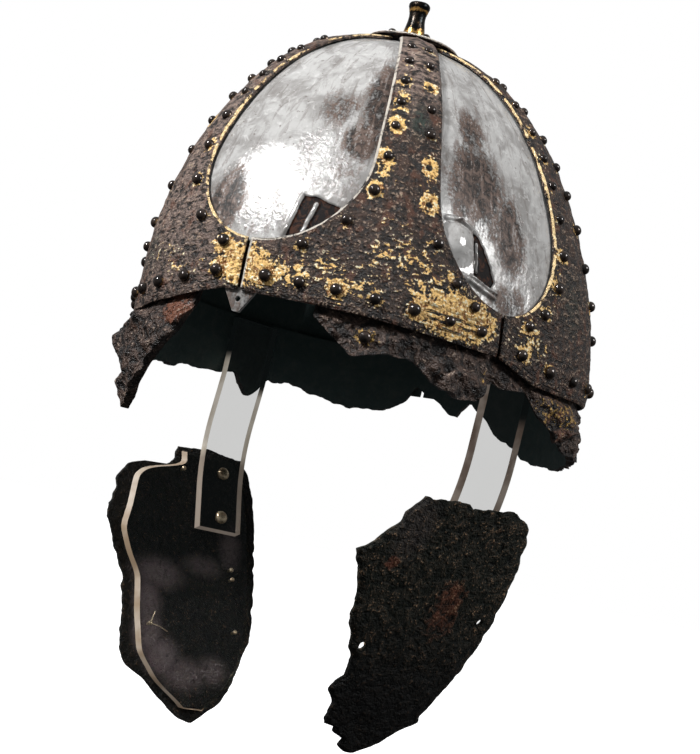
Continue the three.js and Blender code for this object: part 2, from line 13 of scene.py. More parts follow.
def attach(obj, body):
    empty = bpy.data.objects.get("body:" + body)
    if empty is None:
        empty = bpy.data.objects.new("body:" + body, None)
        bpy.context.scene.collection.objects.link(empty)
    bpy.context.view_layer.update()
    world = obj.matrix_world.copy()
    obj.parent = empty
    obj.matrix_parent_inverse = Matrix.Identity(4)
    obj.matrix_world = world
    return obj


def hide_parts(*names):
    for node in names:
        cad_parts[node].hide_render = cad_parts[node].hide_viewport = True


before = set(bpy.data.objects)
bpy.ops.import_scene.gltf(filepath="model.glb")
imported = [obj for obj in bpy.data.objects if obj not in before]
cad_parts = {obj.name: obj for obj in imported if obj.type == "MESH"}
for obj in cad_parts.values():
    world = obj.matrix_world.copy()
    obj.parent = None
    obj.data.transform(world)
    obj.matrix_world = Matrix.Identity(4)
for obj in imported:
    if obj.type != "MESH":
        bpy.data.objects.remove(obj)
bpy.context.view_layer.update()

METRES = 0.001
RANDOM_SEED = 7
SHARP_ANGLE = 48

# Soft oval spots on the dome and on a cheek piece, whose side is 1 for left and -1 for right.
# A spot is whole up to its core and gone at its reach, both as shares of its half sizes across and up.
Spot = namedtuple("Spot", "angle height across up amount")
CheekSpot = namedtuple("CheekSpot", "side y z across up amount")
SPOT_CORE = 0.25
CHEEK_SPOT_CORE = 0.2
SPOT_REACH = 1.1

# Random relief: how high, how large, how many finer layers, and the seed
Ripple = namedtuple("Ripple", "amount size octaves seed")
RIPPLES = {
    "band": [Ripple(0.36, 20, 3, 11), Ripple(0.26, 3, 2, 23)],
    "plate": [Ripple(0.2, 18, 2, 41), Ripple(0.03, 4, 2, 57)],
    "tear_edge": [Ripple(0.5, 2.4, 1, 77)],
    "strip": [Ripple(0.6, 3, 1, 83)],
    "brow_edge": [Ripple(1.1, 7, 4, 91)],
    "brow_crust": [Ripple(2.6, 11, 3, 101), Ripple(1.9, 4.5, 3, 107)],
    "brow_grain": [Ripple(0.12, 4, 2, 113)],
    "brow_inside": [Ripple(0.5, 8, 3, 131)],
    "disc": [Ripple(0.12, 6, 3, 151)],
    "plume": [Ripple(0.06, 4, 2, 171)],
    "cheek_front": [Ripple(0.9, 5, 3, 201)],
    "cheek_back": [Ripple(0.6, 4, 3, 211)],
    "cheek_top": [Ripple(1.6, 10, 4, 221)],
    "cheek_crust": [Ripple(0.7, 10, 4, 231)],
    "cheek_grain": [Ripple(0.25, 2.5, 2, 241)],
}

# Camera and stage
CAMERA_EYE = (595.5, -448.5, -93.5)
CAMERA_AZIMUTH = 53.0
CAMERA_ELEVATION = -6.02
CAMERA_ROLL = 12.37
FOCAL_PIXELS = 1573.7
PHOTO_WIDTH = 700
SENSOR_WIDTH = 36.0
CLIP_START = 10
FLOOR_Z = -300
FLOOR_SIZE = 60000
KEY_LIGHT = {"place": (-40, -1050, 750), "target": (20, -50, 40), "size": (240, 130), "power": 19}
SIDE_LIGHT = {"place": (1100, 550, 750), "target": (50, 0, 40), "size": (500, 500), "power": 12}
# The sky's strength rises from low to high between two heights of a view direction
SKY_LOW = 0.03
SKY_HIGH = 0.40
SKY_FROM = -0.6
SKY_TO = 0.9
WHITE = (1, 1, 1, 1)
FLOOR_COLOUR = (0.9, 0.9, 0.9, 1)

# Dome
RIM_RADIUS = 107
PLAN_RATIO = 0.972
DOME_HEIGHT = 149.5
RADIUS_POWER = 2.05
HEIGHT_POWER = 1.94
CORNER_SWELL = 0.024
APEX_SHIFT = (-3.3, -4.1)
RIM_BOW = 2
REAR_BULGE_ANGLE = 143
REAR_BULGE = 4
SLOPE_STEP = 0.05
LAYER_GAP = 0.75
CLEARANCE = 0.3

# Bands and the plates that follow them
BAND_THICKNESS = 1.5
BAND_TOP_HEIGHT = 147.6
BAND_TOP_HALF_WIDTH = 8.2
BAND_WIDENING = 0.085
WINDOW_CORNER_HEIGHT = 45
SEAM_GAP = 1.6
BAND_COLUMNS = 92
DETAILED_BANDS = ("band_front", "band_front_left", "band_back_left")
EDGE_CROWDING = 0.09
FOOT_ROWS = 26
CORNER_ROWS = 44
UPPER_ROWS = 70
UPPER_FROM = 64
EDGE_PATH_FROM = 70
LAYOUT = [
    {"band": "band_front", "centre": -5, "seam": 24, "sill": 23.5, "plate": "plate_front_left"},
    {"band": "band_front_left", "centre": 59, "seam": 89, "sill": 18.5, "plate": "plate_left"},
    {"band": "band_back_left", "centre": 115, "seam": 148, "sill": 21, "plate": "plate_back_left"},
    {"band": "band_back", "centre": 180, "seam": 212, "sill": 21, "plate": "plate_back_right"},
    {"band": "band_back_right", "centre": 242, "seam": 271, "sill": 21, "plate": "plate_right"},
    {"band": "band_front_right", "centre": 300, "seam": 329, "sill": 21, "plate": "plate_front_right"},
]
# Lower edge of the bands' feet, as (angle, height)
RIM_EDGE = [
    (-31, -12), (-8, -12), (5, -8), (20, 0), (89, 0), (100, -7), (110, -8), (270, -8), (329, -12),
]
FOOT_TOP = 16
KEEL_HEIGHT = 0.8
KEEL_WIDTH = 3.4
KEEL_START = 14
KEEL_FADE = 30
BORDER_BEVEL = 0.55
EDGE_BEVEL_WIDTH = 1.1
RIM_BEVEL_WIDTH = 1.0
RIM_LINES = (1.7, 3.5)
LINE_WIDTH = 0.45
PUNCHED_ROW = 2.7
PUNCHED_FADE = (15, 9)

# Rivets: heights along each window edge, and a row along the foot
EDGE_RIVET_HEIGHTS = (133, 122.5, 110, 98, 85.5, 70.3, 53.5, 38, 24.2, 17)
FRONT_RIVET_HEIGHTS = (134, 125, 116, 106, 95, 81, 65, 47, 30, 20)
RIVET_INSET = 5.6
FOOT_RIVET_HEIGHT = 8
FOOT_RIVET_END = 6.4
FOOT_RIVET_SPACING = 8.7
RIVET_LOW_RADIUS = 2.75
RIVET_HIGH_RADIUS = 2.1
RIVET_SIDES = 18
RIVET_LIFT = 0.2
RIVET_SIZES = (0.88, 1.06)
# Half the outline of a head, as (radius, height) in shares of its radius
RIVET_SHAPE = [(1.0, -0.35), (1.0, 0.18), (0.95, 0.42), (0.8, 0.7), (0.55, 0.9), (0.25, 1.0), (0, 1.02)]
LOST_RIVETS = {
    ("band_front_left", 1): (110, 70.3, 53.5), ("band_back", -1): (85.5,), ("band_front_right", 1): (53.5,),
}
# Gilding and swelling round a rivet, and the dent where one is lost
HALO_REACH = (2.6, 6.2)
SWELL = 0.25
SWELL_REACH = 5
HOLE_RADIUS = 1.7
HOLE_DEPTH = 1.1
HOLE_EDGE = (0.7, 1.3)
# Holes that are cut through a sheet, a little narrower in the middle
HOLE_REACH = 5
HOLE_SIDES = 14
HOLE_WAIST = 0.85
# How much bright metal is left along a band's window edge, as gold and as pale metal
EDGE_TRIM = {
    ("band_front", 1): {"gold": 0.95, "pale": 0.25}, ("band_front_left", -1): {"gold": 0.2, "pale": 0.9},
    ("band_front_left", 1): {"gold": 0.1, "pale": 0.1}, ("band_back_left", -1): {"gold": 0.95, "pale": 0.1},
}
OTHER_TRIM = {"gold": 0.5, "pale": 0.3}
TRIM_WIDTH = 1.5
TRIM_BELOW_WINDOW = 0.35
TRIM_RISE = (-3, 1)

# Where gilding is left on the bands, besides that at rivets and edges
GILDING = [
    Spot(24, 11, 11, 14, 1.1), Spot(36, 12, 12, 13, 0.5), Spot(76, 11, 16, 15, 1.15),
    Spot(62, 26, 16, 24, 0.5), Spot(50, 12, 22, 16, 0.45), Spot(55, 100, 5, 26, 0.55),
    Spot(52, 66, 5, 16, 0.5), Spot(65, 62, 5, 22, 0.45), Spot(103, 50, 6, 40, 0.45),
    Spot(98, 10, 11, 13, 0.5), Spot(4, 12, 22, 14, 0.36), Spot(8, 100, 5, 34, 0.5),
    Spot(148, 12, 12, 13, 0.7), Spot(190, 14, 20, 15, 0.5), Spot(212, 11, 10, 13, 0.8),
    Spot(271, 11, 10, 13, 0.7), Spot(300, 18, 20, 16, 0.5), Spot(329, 11, 10, 13, 0.8),
]
# Where the feet are punched, where the patina is lighter, partly faded and partly painted sheen, and where
# verdigris has grown
PUNCHED = [
    Spot(75, 12, 11, 12, 1.0), Spot(198, 12, 11, 12, 0.8), Spot(316, 12, 11, 12, 0.8),
]
FADED_AND_SHEEN = [
    Spot(-6, 60, 46, 110, 0.7), Spot(56, 132, 24, 46, 0.8), Spot(185, 80, 30, 70, 0.5),
    Spot(300, 90, 30, 70, 0.5),
]
VERDIGRIS = [
    Spot(60.7, 91, 3.5, 11, 1.0), Spot(-9, 14, 6, 12, 0.7), Spot(112, 34, 5, 20, 0.5),
    Spot(184, 70, 5, 18, 0.6), Spot(245, 30, 7, 14, 0.6),
]

# Plates
PLATE_THICKNESS = 1.8
PLATE_DEPTH = BAND_THICKNESS + LAYER_GAP
PLATE_LAP = 6.5
PLATE_LAP_HEIGHT = 16
PLATE_TOP_HEIGHT = 147
PLATE_FOOT_HEIGHT = 3
PLATE_FOOT_HALF_WIDTH = 9
PLATE_CENTRE_MARGIN = 0.06
TONGUE_TIP_HEIGHT = -9
TONGUE_TIP_HALF_WIDTH = 1.5
TONGUED_PLATE = "plate_front_left"
TONGUE_HOLE_HEIGHT = -3.5
TONGUE_HOLE_RADIUS = 1.4
PLATE_COLUMNS = 140
PLATE_FOOT_ROWS = 26
PLATE_TORN_ROWS = 96
PLATE_UPPER_ROWS = 62
TORN_FROM = 23
TORN_TO = 56
DETAILED_PLATES = ("plate_front_left", "plate_left")
# Bare iron between the feet of the bands, beside a seam and above the plate's foot
BARE_BESIDE = (2.5, 4)
BARE_ABOVE = (0.5, 2)
BARE_BELOW_SILL = (0, -2)

# Brown tarnish on the silver
STAINS = [
    Spot(48.5, 100, 9, 34, 1.1), Spot(46, 77, 9, 16, 1.1), Spot(44, 60, 9, 16, 0.5),
    Spot(14, 40, 7.5, 24, 1.3), Spot(36, 92, 12, 15, 0.8), Spot(41, 52, 7, 13, 0.5),
    Spot(24, -5, 12, 10, 0.8), Spot(22, 30, 9, 10, 0.45), Spot(80, 72, 15, 29, 1.2),
    Spot(75, 60, 6, 13, 0.9), Spot(86, 56, 7, 16, 0.8), Spot(91, 54, 7.5, 28, 1.2),
    Spot(79, 97, 8, 17, 1.0), Spot(83, 108, 5, 9, 0.6), Spot(91, 25, 10, 14, 0.85),
    Spot(136, 62, 13, 44, 0.8), Spot(158, 92, 12, 40, 0.65), Spot(205, 52, 15, 42, 0.8),
    Spot(222, 92, 13, 34, 0.65), Spot(262, 50, 12, 44, 0.8), Spot(278, 86, 14, 36, 0.65),
    Spot(318, 74, 11, 46, 0.8), Spot(338, 48, 10, 30, 0.65),
]

# Where the silver skin is finely creased
CREASED = [
    Spot(36, 64, 11, 26, 1.0), Spot(26, 40, 9, 20, 0.5), Spot(78, 100, 8, 16, 0.7),
    Spot(88, 56, 8, 30, 0.6), Spot(210, 60, 12, 24, 0.8), Spot(320, 60, 12, 24, 0.8),
]

# Torn places in the silver skin, as corners of (angle, height), and strips of skin that curl up beside them
TEARS = [
    [(34.5, 47), (37.4, 47.2), (44.7, 44.2), (42.4, 35.6), (38.6, 30), (32, 27)],
    [(78.4, 50.5), (80.5, 48.5), (83.2, 42), (86.4, 31.5), (85, 27.5), (80, 31), (79.4, 40)],
]
TEAR_DEPTH = 0.9
TEAR_EDGE = (-0.5, 0.3)
STRIPS = [
    {"from": (34.2, 47.5), "to": (31.8, 27.5), "width": 0.8, "lift": 0.9},
    {"from": (38.2, 43.5), "to": (36.4, 30.5), "width": 0.9, "lift": 1.1},
    {"from": (42.6, 35.4), "to": (38.8, 29.8), "width": 0.8, "lift": 1.2},
    {"from": (70.6, 51.8), "to": (74.2, 52.9), "width": 0.7, "lift": 1.3},
    {"from": (74.2, 52.9), "to": (79.2, 49.6), "width": 0.8, "lift": 1.8},
    {"from": (79.8, 45), "to": (80.4, 33), "width": 0.6, "lift": 1.6},
    {"from": (76.4, 29.6), "to": (86.2, 24.2), "width": 0.8, "lift": 1.5},
    {"from": (79, 30.6), "to": (86.8, 26.6), "width": 0.6, "lift": 1.1},
]
STRIP_EDGE = (0.3, 2.0)
STRIP_EVEN = 0.8
FLAP = {"angle": 74.6, "height": 42.5, "across": 5.6, "up": 11, "lift": 3.0, "core": 0.1}

# Brow band
BROW_THICKNESS = 2.5
BROW_DEPTH = BAND_THICKNESS + PLATE_THICKNESS + 2 * LAYER_GAP
BROW_TOP_HEIGHT = 14
BROW_FLARE = 3.4
BROW_FLARE_DROP = 25
BROW_COLUMN_STEP = 0.6
BROW_ROWS = 50
# Crust grows where the band hangs free below the rim, and it thins at the broken edge
BROW_FREE_DROP = -5
BROW_CRUST = 1.2
BROW_CRUST_LEAST = -0.8
BROW_EDGE_THINNING = 0.45
BROW_EDGE_FROM = 0.86
BROW_MM_PER_DEGREE = 1.8
# Its broken lower edge, as (angle, height)
BROW_EDGE = [
    (43, -3), (47, -9), (53, -16), (67, -12), (73, -18), (80, -22), (86, -21), (88.5, -12), (101, -10),
    (105, -19), (113, -27), (124, -33), (136, -36), (150, -37), (164, -36), (175, -32), (187, -22),
    (196, -7), (200, -16), (206, -11), (213, -4), (216, -12), (226, -20), (238, -18), (252, -14),
    (259, -15), (264.5, -27), (270, -16), (283, -18), (297, -22), (314, -24), (331, -27),
    (343, -36), (351, -58), (356, -50), (361, -39), (366, -28), (370, -18), (372.5, -8),
]
BROW_RIVET = {"angle": 56, "height": -8}
# Dents and bulges, rust and scraps of gilt foil on it
BROW_BULGES = [
    Spot(-20, -20, 34, 17, 3.2), Spot(-5, -60, 20, 22, -2.6), Spot(78, -12, 10, 9, 1.6),
    Spot(112, -18, 12, 12, 1.5),
]
RUST = [
    Spot(368, -10, 8, 16, 1.0), Spot(356, -20, 8, 16, 0.35), Spot(112, -18, 16, 18, 0.6),
    Spot(80, -12, 12, 14, 0.3), Spot(140, -16, 18, 16, 0.5), Spot(236, -10, 16, 12, 0.5),
    Spot(300, -12, 14, 12, 0.5),
]
FOIL = [
    Spot(56, -8, 5, 7, 0.8), Spot(67, -8, 6, 5, 0.55), Spot(112, -16, 18, 14, 0.7),
    Spot(87, -11, 2.5, 10, 0.6), Spot(240, -14, 16, 8, 0.5),
]

# Apex disc and plume holder
DISC_RADIUS = 21.5
DISC_THICKNESS = 1.3
DISC_CROWN = 1.2
DISC_DROOP_TURN = 53
DISC_DROOP = 1.3
DISC_DROOP_REACH = 0.14
DISC_DROOP_NARROW = 4
DISC_DROOP_FROM = 0.6
DISC_BEVEL = 0.4
DISC_BEVEL_WIDTH = 1.2
DISC_GROOVE = {"depth": 0.2, "inset": 3, "width": 0.5}
DISC_WOBBLE = [{"amount": 0.012, "waves": 3, "phase": 1}, {"amount": 0.008, "waves": 7, "phase": 0}]
# The disc's lighter patina and pale rim are partly its own colour and partly painted light for its lit upper
# edge
DISC_VALUES = {"trim": 0.35, "pale": 1.2, "gilding": 0.35, "faded_and_sheen": 1.0}
DISC_SEAT = BAND_TOP_HEIGHT + LAYER_GAP
DISC_RINGS = 24
DISC_SIDES = 144
DISC_RIVETS = (15, 75, 135, 195, 255, 315)
DISC_RIVET_RING = 16.5
DISC_RIVET_SIZES = (0.9, 1.1)
DISC_HOLE = 0.02
PLUME_SIDES = 64
PLUME_BORE_RADIUS = 3.2
# Outline of the holder, as (radius, height)
PLUME_PROFILE = [
    (5.9, 0), (6.0, 0.7), (5.6, 1.4), (5.4, 2.4), (5.4, 4.2), (5.1, 6), (4.7, 8), (4.3, 10.4), (4.1, 12.8),
    (4.2, 14.6), (4.5, 15.8), (4.7, 16.6), (4.9, 17.4), (5.2, 18.3), (5.2, 19.4), (4.8, 20.1), (4.2, 20.4),
]
PLUME_RINGS = 90
PLUME_COLLAR = 16.2
PLUME_COLLAR_WIDTH = 1.0
PLUME_FOOT = (3.5, 9.5)
PLUME_COLLAR_GOLD = 0.75
PLUME_FOOT_GOLD = 0.8

# Cheek pieces
CHEEK_THICKNESS = 2.6
CHEEK_TOP_X = 102
CHEEK_TOP_Z = -61
CHEEK_LEAN = 0.4
CHEEK_BULGE = 3
CHEEK_HALF_WIDTH = 45
CHEEK_COLUMNS = 92
CHEEK_ROWS = 120
# Stations down each plate, as (Z, Y of the front edge, Y of the back edge)
LEFT_CHEEK = [
    (-64, -12, 30), (-70, -20, 41), (-78, -26, 44), (-92, -38, 47), (-104, -33, 48), (-120, -28, 48),
    (-136, -18, 45), (-150, -19, 40), (-160, -15, 34), (-168, -10, 23), (-176, 2, 8),
]
RIGHT_CHEEK = [
    (-61, -28, 10), (-72, -28, 18), (-74, -48, 18), (-80, -58, 20), (-96, -62, 22), (-107, -66, 22),
    (-118, -62, 22), (-128, -56, 22), (-145, -56, 20), (-163, -54, 16), (-175, -44, 8), (-184, -30, -4),
    (-190, -20, -14),
]
# Broken outlines of the plates, as (Z, Y) down the front and the back
LEFT_FRONT = [
    (-65, -21), (-74, -26), (-78, -26), (-85, -31.5), (-91, -37), (-93.5, -41.5), (-97, -39), (-100, -35.7),
    (-106, -34), (-113, -31), (-123, -28.5), (-128.5, -24), (-133, -22.8), (-139, -18.2), (-147, -17.9),
    (-150, -21), (-154, -21.5), (-160, -16.7), (-167, -16.8), (-170, -15.4), (-170.6, -10), (-173, -9),
    (-175.5, -2.3), (-178.5, -2.9), (-181.5, 2.3),
]
LEFT_BACK = [
    (-65, 31), (-67, 34), (-70, 43.5), (-77, 47.5), (-81, 46.7), (-87, 50), (-113, 50.7), (-126, 48.8),
    (-138, 45.7), (-150, 40.5), (-161, 35), (-164, 35.2), (-170, 25.2), (-175.5, 18.3), (-181.5, 6.1),
]
RIGHT_FRONT = [
    (-61, -24), (-68, -26), (-72, -29.5), (-73, -43), (-76, -54), (-83, -61), (-89, -62), (-96, -65),
    (-104, -68), (-109, -65.4), (-118, -63.3), (-121, -60.5), (-129, -57), (-140, -55.7), (-149, -57),
    (-163, -57.4), (-170, -53.4), (-175, -44), (-183, -33.7), (-191, -21.4), (-192.5, -15.5),
]
RIGHT_BACK = [
    (-61, 15.3), (-69, 20.6), (-80, 23.7), (-94, 24.3), (-126, 23.5), (-139, 22.5), (-152, 20.4),
    (-162, 15.4), (-172, 10.4), (-182, 2.5), (-189, -7.5), (-192.5, -13.5),
]
# Holes, as (Y, Z, radius)
LEFT_CHEEK_HOLES = [(-17, -133.5, 2.5), (42, -114.3, 2.1)]
# Rust and a pale haze on the cheek pieces
CHEEK_RUST = [
    CheekSpot(1, 17, -112, 20, 24, 0.75), CheekSpot(1, -23, -96, 5, 5, 0.9),
    CheekSpot(-1, -15, -180, 1.6, 4.5, 1.0), CheekSpot(1, 20, -76, 40, 14, 0.4),
    CheekSpot(-1, -20, -120, 26, 30, 0.25),
]
CHEEK_HAZE = [
    CheekSpot(-1, -36, -126, 20, 10, 0.7), CheekSpot(-1, -42, -140, 11, 16, 0.8),
    CheekSpot(-1, -41, -154, 12, 14, 0.9), CheekSpot(-1, -33, -164, 14, 12, 0.8),
    CheekSpot(-1, -19, -171, 18, 10, 0.6), CheekSpot(-1, -2, -168, 12, 9, 0.5),
    CheekSpot(-1, 9, -107, 9, 14, 0.8), CheekSpot(-1, -8, -119, 16, 7, 0.45),
    CheekSpot(1, -20, -80, 12, 20, 0.12),
]
CHEEK_TOP_FADE = 14
CHEEK_END_MARGIN = 2
CHEEK_EDGE_THINNING = 0.8
CHEEK_EDGE_WIDTH = 2.5
# Painted shade that darkens the foot of the left cheek piece, from one Z to another, and a darkening of all
# of the right one
FOOT_SHADE_FROM = -100
FOOT_SHADE_TO = -158
LEFT_FOOT_SHADE = 0.9
RIGHT_DARKENING = 0.7

# Acrylic and screws
# The faint glow of the clear sheets is painted reflection
ACRYLIC_GLOW = (0.85, 1, 1, 1)
ACRYLIC_PAINTED_REFLECTION = 0.0013
ACRYLIC_IOR = 1.08
BACKING_THICKNESS = 3
BACKING_INSET_FRONT = 6
BACKING_INSET_BACK = 3
BACKING_INSET_TOP = 3
BACKING_INSET_BOTTOM = 4
BACKING_DEPTH = CHEEK_THICKNESS + CLEARANCE
BACKING_CHAMFER = 1.6
BACKING_CHAMFER_FROM = 0.5
BACKING_LEAST_WIDTH = 1
BACKING_COLUMNS = 24
BACKING_SMOOTHING = 11
STRAP_THICKNESS = 5
STRAP_WIDTH = 25
STRAP_TOP_Z = 10
STRAP_BEND_Z = -20
STRAP_KNEE_Z = -62
STRAP_BOTTOM_Z = -101
STRAP_ROUNDS = 4
STRAP_SQUARE = 0.93
STRAP_COLUMNS = 7
# Below this height a strap's edges get painted shade where they lie over the cheek piece
STRAP_IRON_SHADE_Z = -60
STRAP_IRON_SHADE = 0.85
STRAP_FADE = 6
SCREW_SIDES = 28
SCREW_HEIGHTS = {"upper": -71, "lower": -93}
# Half the outline of a screw, as (radius, height)
SCREW_PROFILE = [(0, -3), (2, -3), (2, 0), (3.3, 0), (3.3, 0.4), (3.0, 1.1), (2.3, 1.6), (1.2, 1.9), (0, 2)]
# Above the first of two heights a strap's front edge, and above the second its back edge, get painted shadow
# where they pass into the helmet's shadow
CHEEKS = [
    {"label": "left", "side": 1, "stations": LEFT_CHEEK, "front": LEFT_FRONT, "back": LEFT_BACK,
     "holes": LEFT_CHEEK_HOLES, "top_y": 17, "foot_y": 12, "shade_from_z": (0, -22)},
    {"label": "right", "side": -1, "stations": RIGHT_CHEEK, "front": RIGHT_FRONT, "back": RIGHT_BACK,
     "holes": [], "top_y": 1.5, "foot_y": -3, "shade_from_z": (-8, -22)},
]
# Pins left in the inner face of the right cheek piece, as (Y, Z), and half their outline as (radius, height)
RIGHT_PINS = [(-22.7, -72.7), (-41.8, -149.4), (9.9, -147.7), (8.2, -122.6), (7.6, -118)]
PIN_SIDES = 14
PIN_PROFILE = [(0, -2.5), (0.8, -2.5), (0.8, 0.2), (1.2, 0.4), (1.1, 0.9), (0.6, 1.2), (0, 1.3)]
# Two ends of wire at one pin, each as places of (Y, Z, height above the sheet)
PIN_WIRES = [
    [(-41.8, -149.4, 0.8), (-41.4, -146.5, 1.8), (-40.3, -143.7, 2.2)],
    [(-41.8, -149.4, 0.8), (-37.0, -150.2, 1.6), (-32.0, -152.1, 1.4)],
]
WIRE_RADIUS = 0.28
WIRE_SIDES = 8

# Colours as linear red, green and blue. A pair is mixed by the material's own noise.
GILT_TONES = {
    # The lighter patina is partly faded and partly painted sheen
    "patina": ((0.004, 0.0024, 0.0016), (0.052, 0.027, 0.017)), "faded_and_sheen": (0.29, 0.215, 0.184),
    # glint: painted highlight specks on the patina
    "red": (0.120, 0.042, 0.020), "glint": (0.46, 0.34, 0.25), "pit": (0.006, 0.004, 0.004),
    "verdigris": (0.016, 0.040, 0.032), "gold": ((0.22, 0.086, 0.020), (0.96, 0.62, 0.22)),
    # gold_glint: painted highlight specks on the gold
    "gold_glint": (1.0, 0.92, 0.66), "trim": (0.95, 0.74, 0.42), "pale": (0.62, 0.57, 0.50),
    # sunk: dark in punched strokes and grooves, and painted shade in the dents of lost rivets
    "sunk": (0.006, 0.004, 0.003),
}
SILVER_TONES = {
    "skin": ((0.31, 0.30, 0.29), (0.52, 0.515, 0.505)), "streak": (0.21, 0.19, 0.178),
    "crease": (0.72, 0.71, 0.70), "speck": (0.15, 0.12, 0.11),
    "tarnish": ((0.007, 0.004, 0.003), (0.135, 0.092, 0.074)),
    "bare": ((0.005, 0.003, 0.003), (0.060, 0.024, 0.013)),
}
BROW_TONES = {
    # On the brow band the speck is partly pale crust and partly painted highlight on the lumps
    "iron": ((0.008, 0.0048, 0.0038), (0.082, 0.051, 0.039)), "speck": (0.50, 0.38, 0.30),
    "rust": (0.170, 0.062, 0.032), "haze": (0.06, 0.05, 0.05), "darkening": (0.005, 0.004, 0.004),
}
CHEEK_TONES = {
    "iron": ((0.0095, 0.0125, 0.0098), (0.034, 0.030, 0.023)), "speck": (0.40, 0.255, 0.155),
    "rust": (0.120, 0.044, 0.026), "haze": (0.24, 0.190, 0.195), "darkening": (0.004, 0.004, 0.0045),
}
FOIL_TONE = (0.50, 0.33, 0.12)
RIVET_TONES = {"head": ((0.012, 0.009, 0.008), (0.055, 0.038, 0.030)), "foot": (0.34, 0.20, 0.07)}
LINING_TONES = ((0.115, 0.165, 0.165), (0.165, 0.205, 0.20))
HOLDER_TONES = {"bronze": ((0.007, 0.008, 0.008), (0.045, 0.032, 0.022)), "gold": (0.66, 0.37, 0.11)}
STEEL_TONES = ((0.62, 0.52, 0.36), (0.30, 0.22, 0.14))
# Edge colours, which also glow as painted light
NEAR_EDGE_TONES = ((0.13, 0.095, 0.075), (0.33, 0.28, 0.24))
FAR_EDGE_TONES = ((0.42, 0.37, 0.30), (0.60, 0.55, 0.48))
SHEET_EDGE_TONES = ((0.27, 0.195, 0.13), (0.46, 0.39, 0.32))
# Painted shade on strap edges over the cheek piece, and painted shadow on them inside the helmet
EDGE_SHADE_OVER_IRON_TONE = (0.17, 0.135, 0.11)
SHADED_EDGE_TONE = (0.006, 0.008, 0.008)
# Sockets of a colour mix, and the radians by which a wave texture turns in each unit of its place
MIX_FIRST = 6
MIX_SECOND = 7
MIX_RESULT = 2
WAVE_RADIANS = 20
# Targets that are compared at a time when the nearest one is looked for
NEAREST_BLOCK = 64
# Large odd numbers that scramble a cell's place into a random number, and the largest one that is kept
CELL_FACTORS = (73856093, 19349663, 83492791)
SEED_FACTOR = 1274126177
SCRAMBLE_STEPS = ((13, 1103515245), (15, 12345))
SCRAMBLE_MOST = 0x7FFFFFFF


# Numbers

def smoothstep(low, high, value):
    share = np.clip((value - low) / (high - low), 0, 1)
    return share * share * (3 - 2 * share)


def lattice(cells, seed):
    """One random number from -1 to 1 for each whole-numbered cell."""
    mixed = cells.astype(np.int64) * np.array(CELL_FACTORS)
    scrambled = (mixed[..., 0] ^ mixed[..., 1] ^ mixed[..., 2]) + seed * SEED_FACTOR
    for shift, factor in SCRAMBLE_STEPS:
        scrambled = (scrambled ^ (scrambled >> shift)) * factor & SCRAMBLE_MOST
    return scrambled / (SCRAMBLE_MOST // 2) - 1


def value_noise(points, size, seed):
    """Smooth noise from -1 to 1 with features of the given size."""
    place = points / size
    cell = np.floor(place)
    share = place - cell
    share = share * share * (3 - 2 * share)
    total = np.zeros(points.shape[:-1])
    for corner in np.ndindex(2, 2, 2):
        weight = np.prod(np.where(np.array(corner) == 1, share, 1 - share), axis=-1)
        total += weight * lattice(cell + np.array(corner), seed)
    return total


def fractal(points, size, octaves, seed):
    total = np.zeros(points.shape[:-1])
    for octave in range(octaves):
        total += value_noise(points, size / 2 ** octave, seed + octave) / 2 ** octave
    return total


def ripples(name, points, shift=0):
    """The sum of the named layers of relief, with their seeds moved by a shift."""
    return sum(
        row.amount * fractal(points, row.size, row.octaves, row.seed + shift) for row in RIPPLES[name]
    )


def on_a_line(values):
    """Points along X, for noise that runs along one edge."""
    return np.stack([values, np.zeros_like(values), np.zeros_like(values)], axis=-1)


def between(start, end, share):
    """A grid whose rows run from one column of numbers to another."""
    return start[:, None] + (end - start)[:, None] * share


def widen(column, columns):
    """A grid with the same column of numbers again and again."""
    return np.repeat(column[:, None], columns, axis=1)


# The dome's surface

def dome_surface(angle, height):
    angle, height = np.broadcast_arrays(np.asarray(angle, float), np.asarray(height, float))
    rise = np.clip(height / DOME_HEIGHT, 0, 1)
    turn = np.radians(angle)
    shrink = (1 - rise ** HEIGHT_POWER) ** (1 / RADIUS_POWER)
    towards = np.maximum(0, np.cos(turn - math.radians(REAR_BULGE_ANGLE)))
    bulge = REAR_BULGE * towards ** 2 * (1 - rise) ** 2
    radius = RIM_RADIUS * shrink * (1 + CORNER_SWELL * np.cos(6 * turn)) + bulge
    x = radius * np.sin(turn) * PLAN_RATIO + APEX_SHIFT[0] * rise
    y = -radius * np.cos(turn) / PLAN_RATIO + APEX_SHIFT[1] * rise
    z = height + RIM_BOW * np.cos(2 * turn) * (1 - rise)
    return np.stack([x, y, z], axis=-1)


def dome_normal(angle, height):
    along = dome_surface(angle + SLOPE_STEP, height) - dome_surface(angle - SLOPE_STEP, height)
    up = dome_surface(angle, height + SLOPE_STEP) - dome_surface(angle, height - SLOPE_STEP)
    normal = np.cross(along, up)
    return normal / np.linalg.norm(normal, axis=-1, keepdims=True)


def dome_point(angle, height, depth):
    depth = np.asarray(depth, float)
    return dome_surface(angle, height) - dome_normal(angle, height) * depth[..., None]


def degrees_per_mm(angle, height):
    span = dome_surface(angle + SLOPE_STEP, height) - dome_surface(angle - SLOPE_STEP, height)
    return 2 * SLOPE_STEP / np.linalg.norm(span, axis=-1)


def spots(table, angle, height):
    """The strongest of a table's soft oval spots at each place of the dome."""
    best = np.zeros(np.broadcast(angle, height).shape)
    for row in table:
        turn = (angle - row.angle + 180) % 360 - 180
        reach = np.hypot(turn / row.across, (height - row.height) / row.up)
        spot = row.amount * (1 - smoothstep(SPOT_CORE, SPOT_REACH, reach))
        best = np.where(np.abs(spot) > np.abs(best), spot, best)
    return best


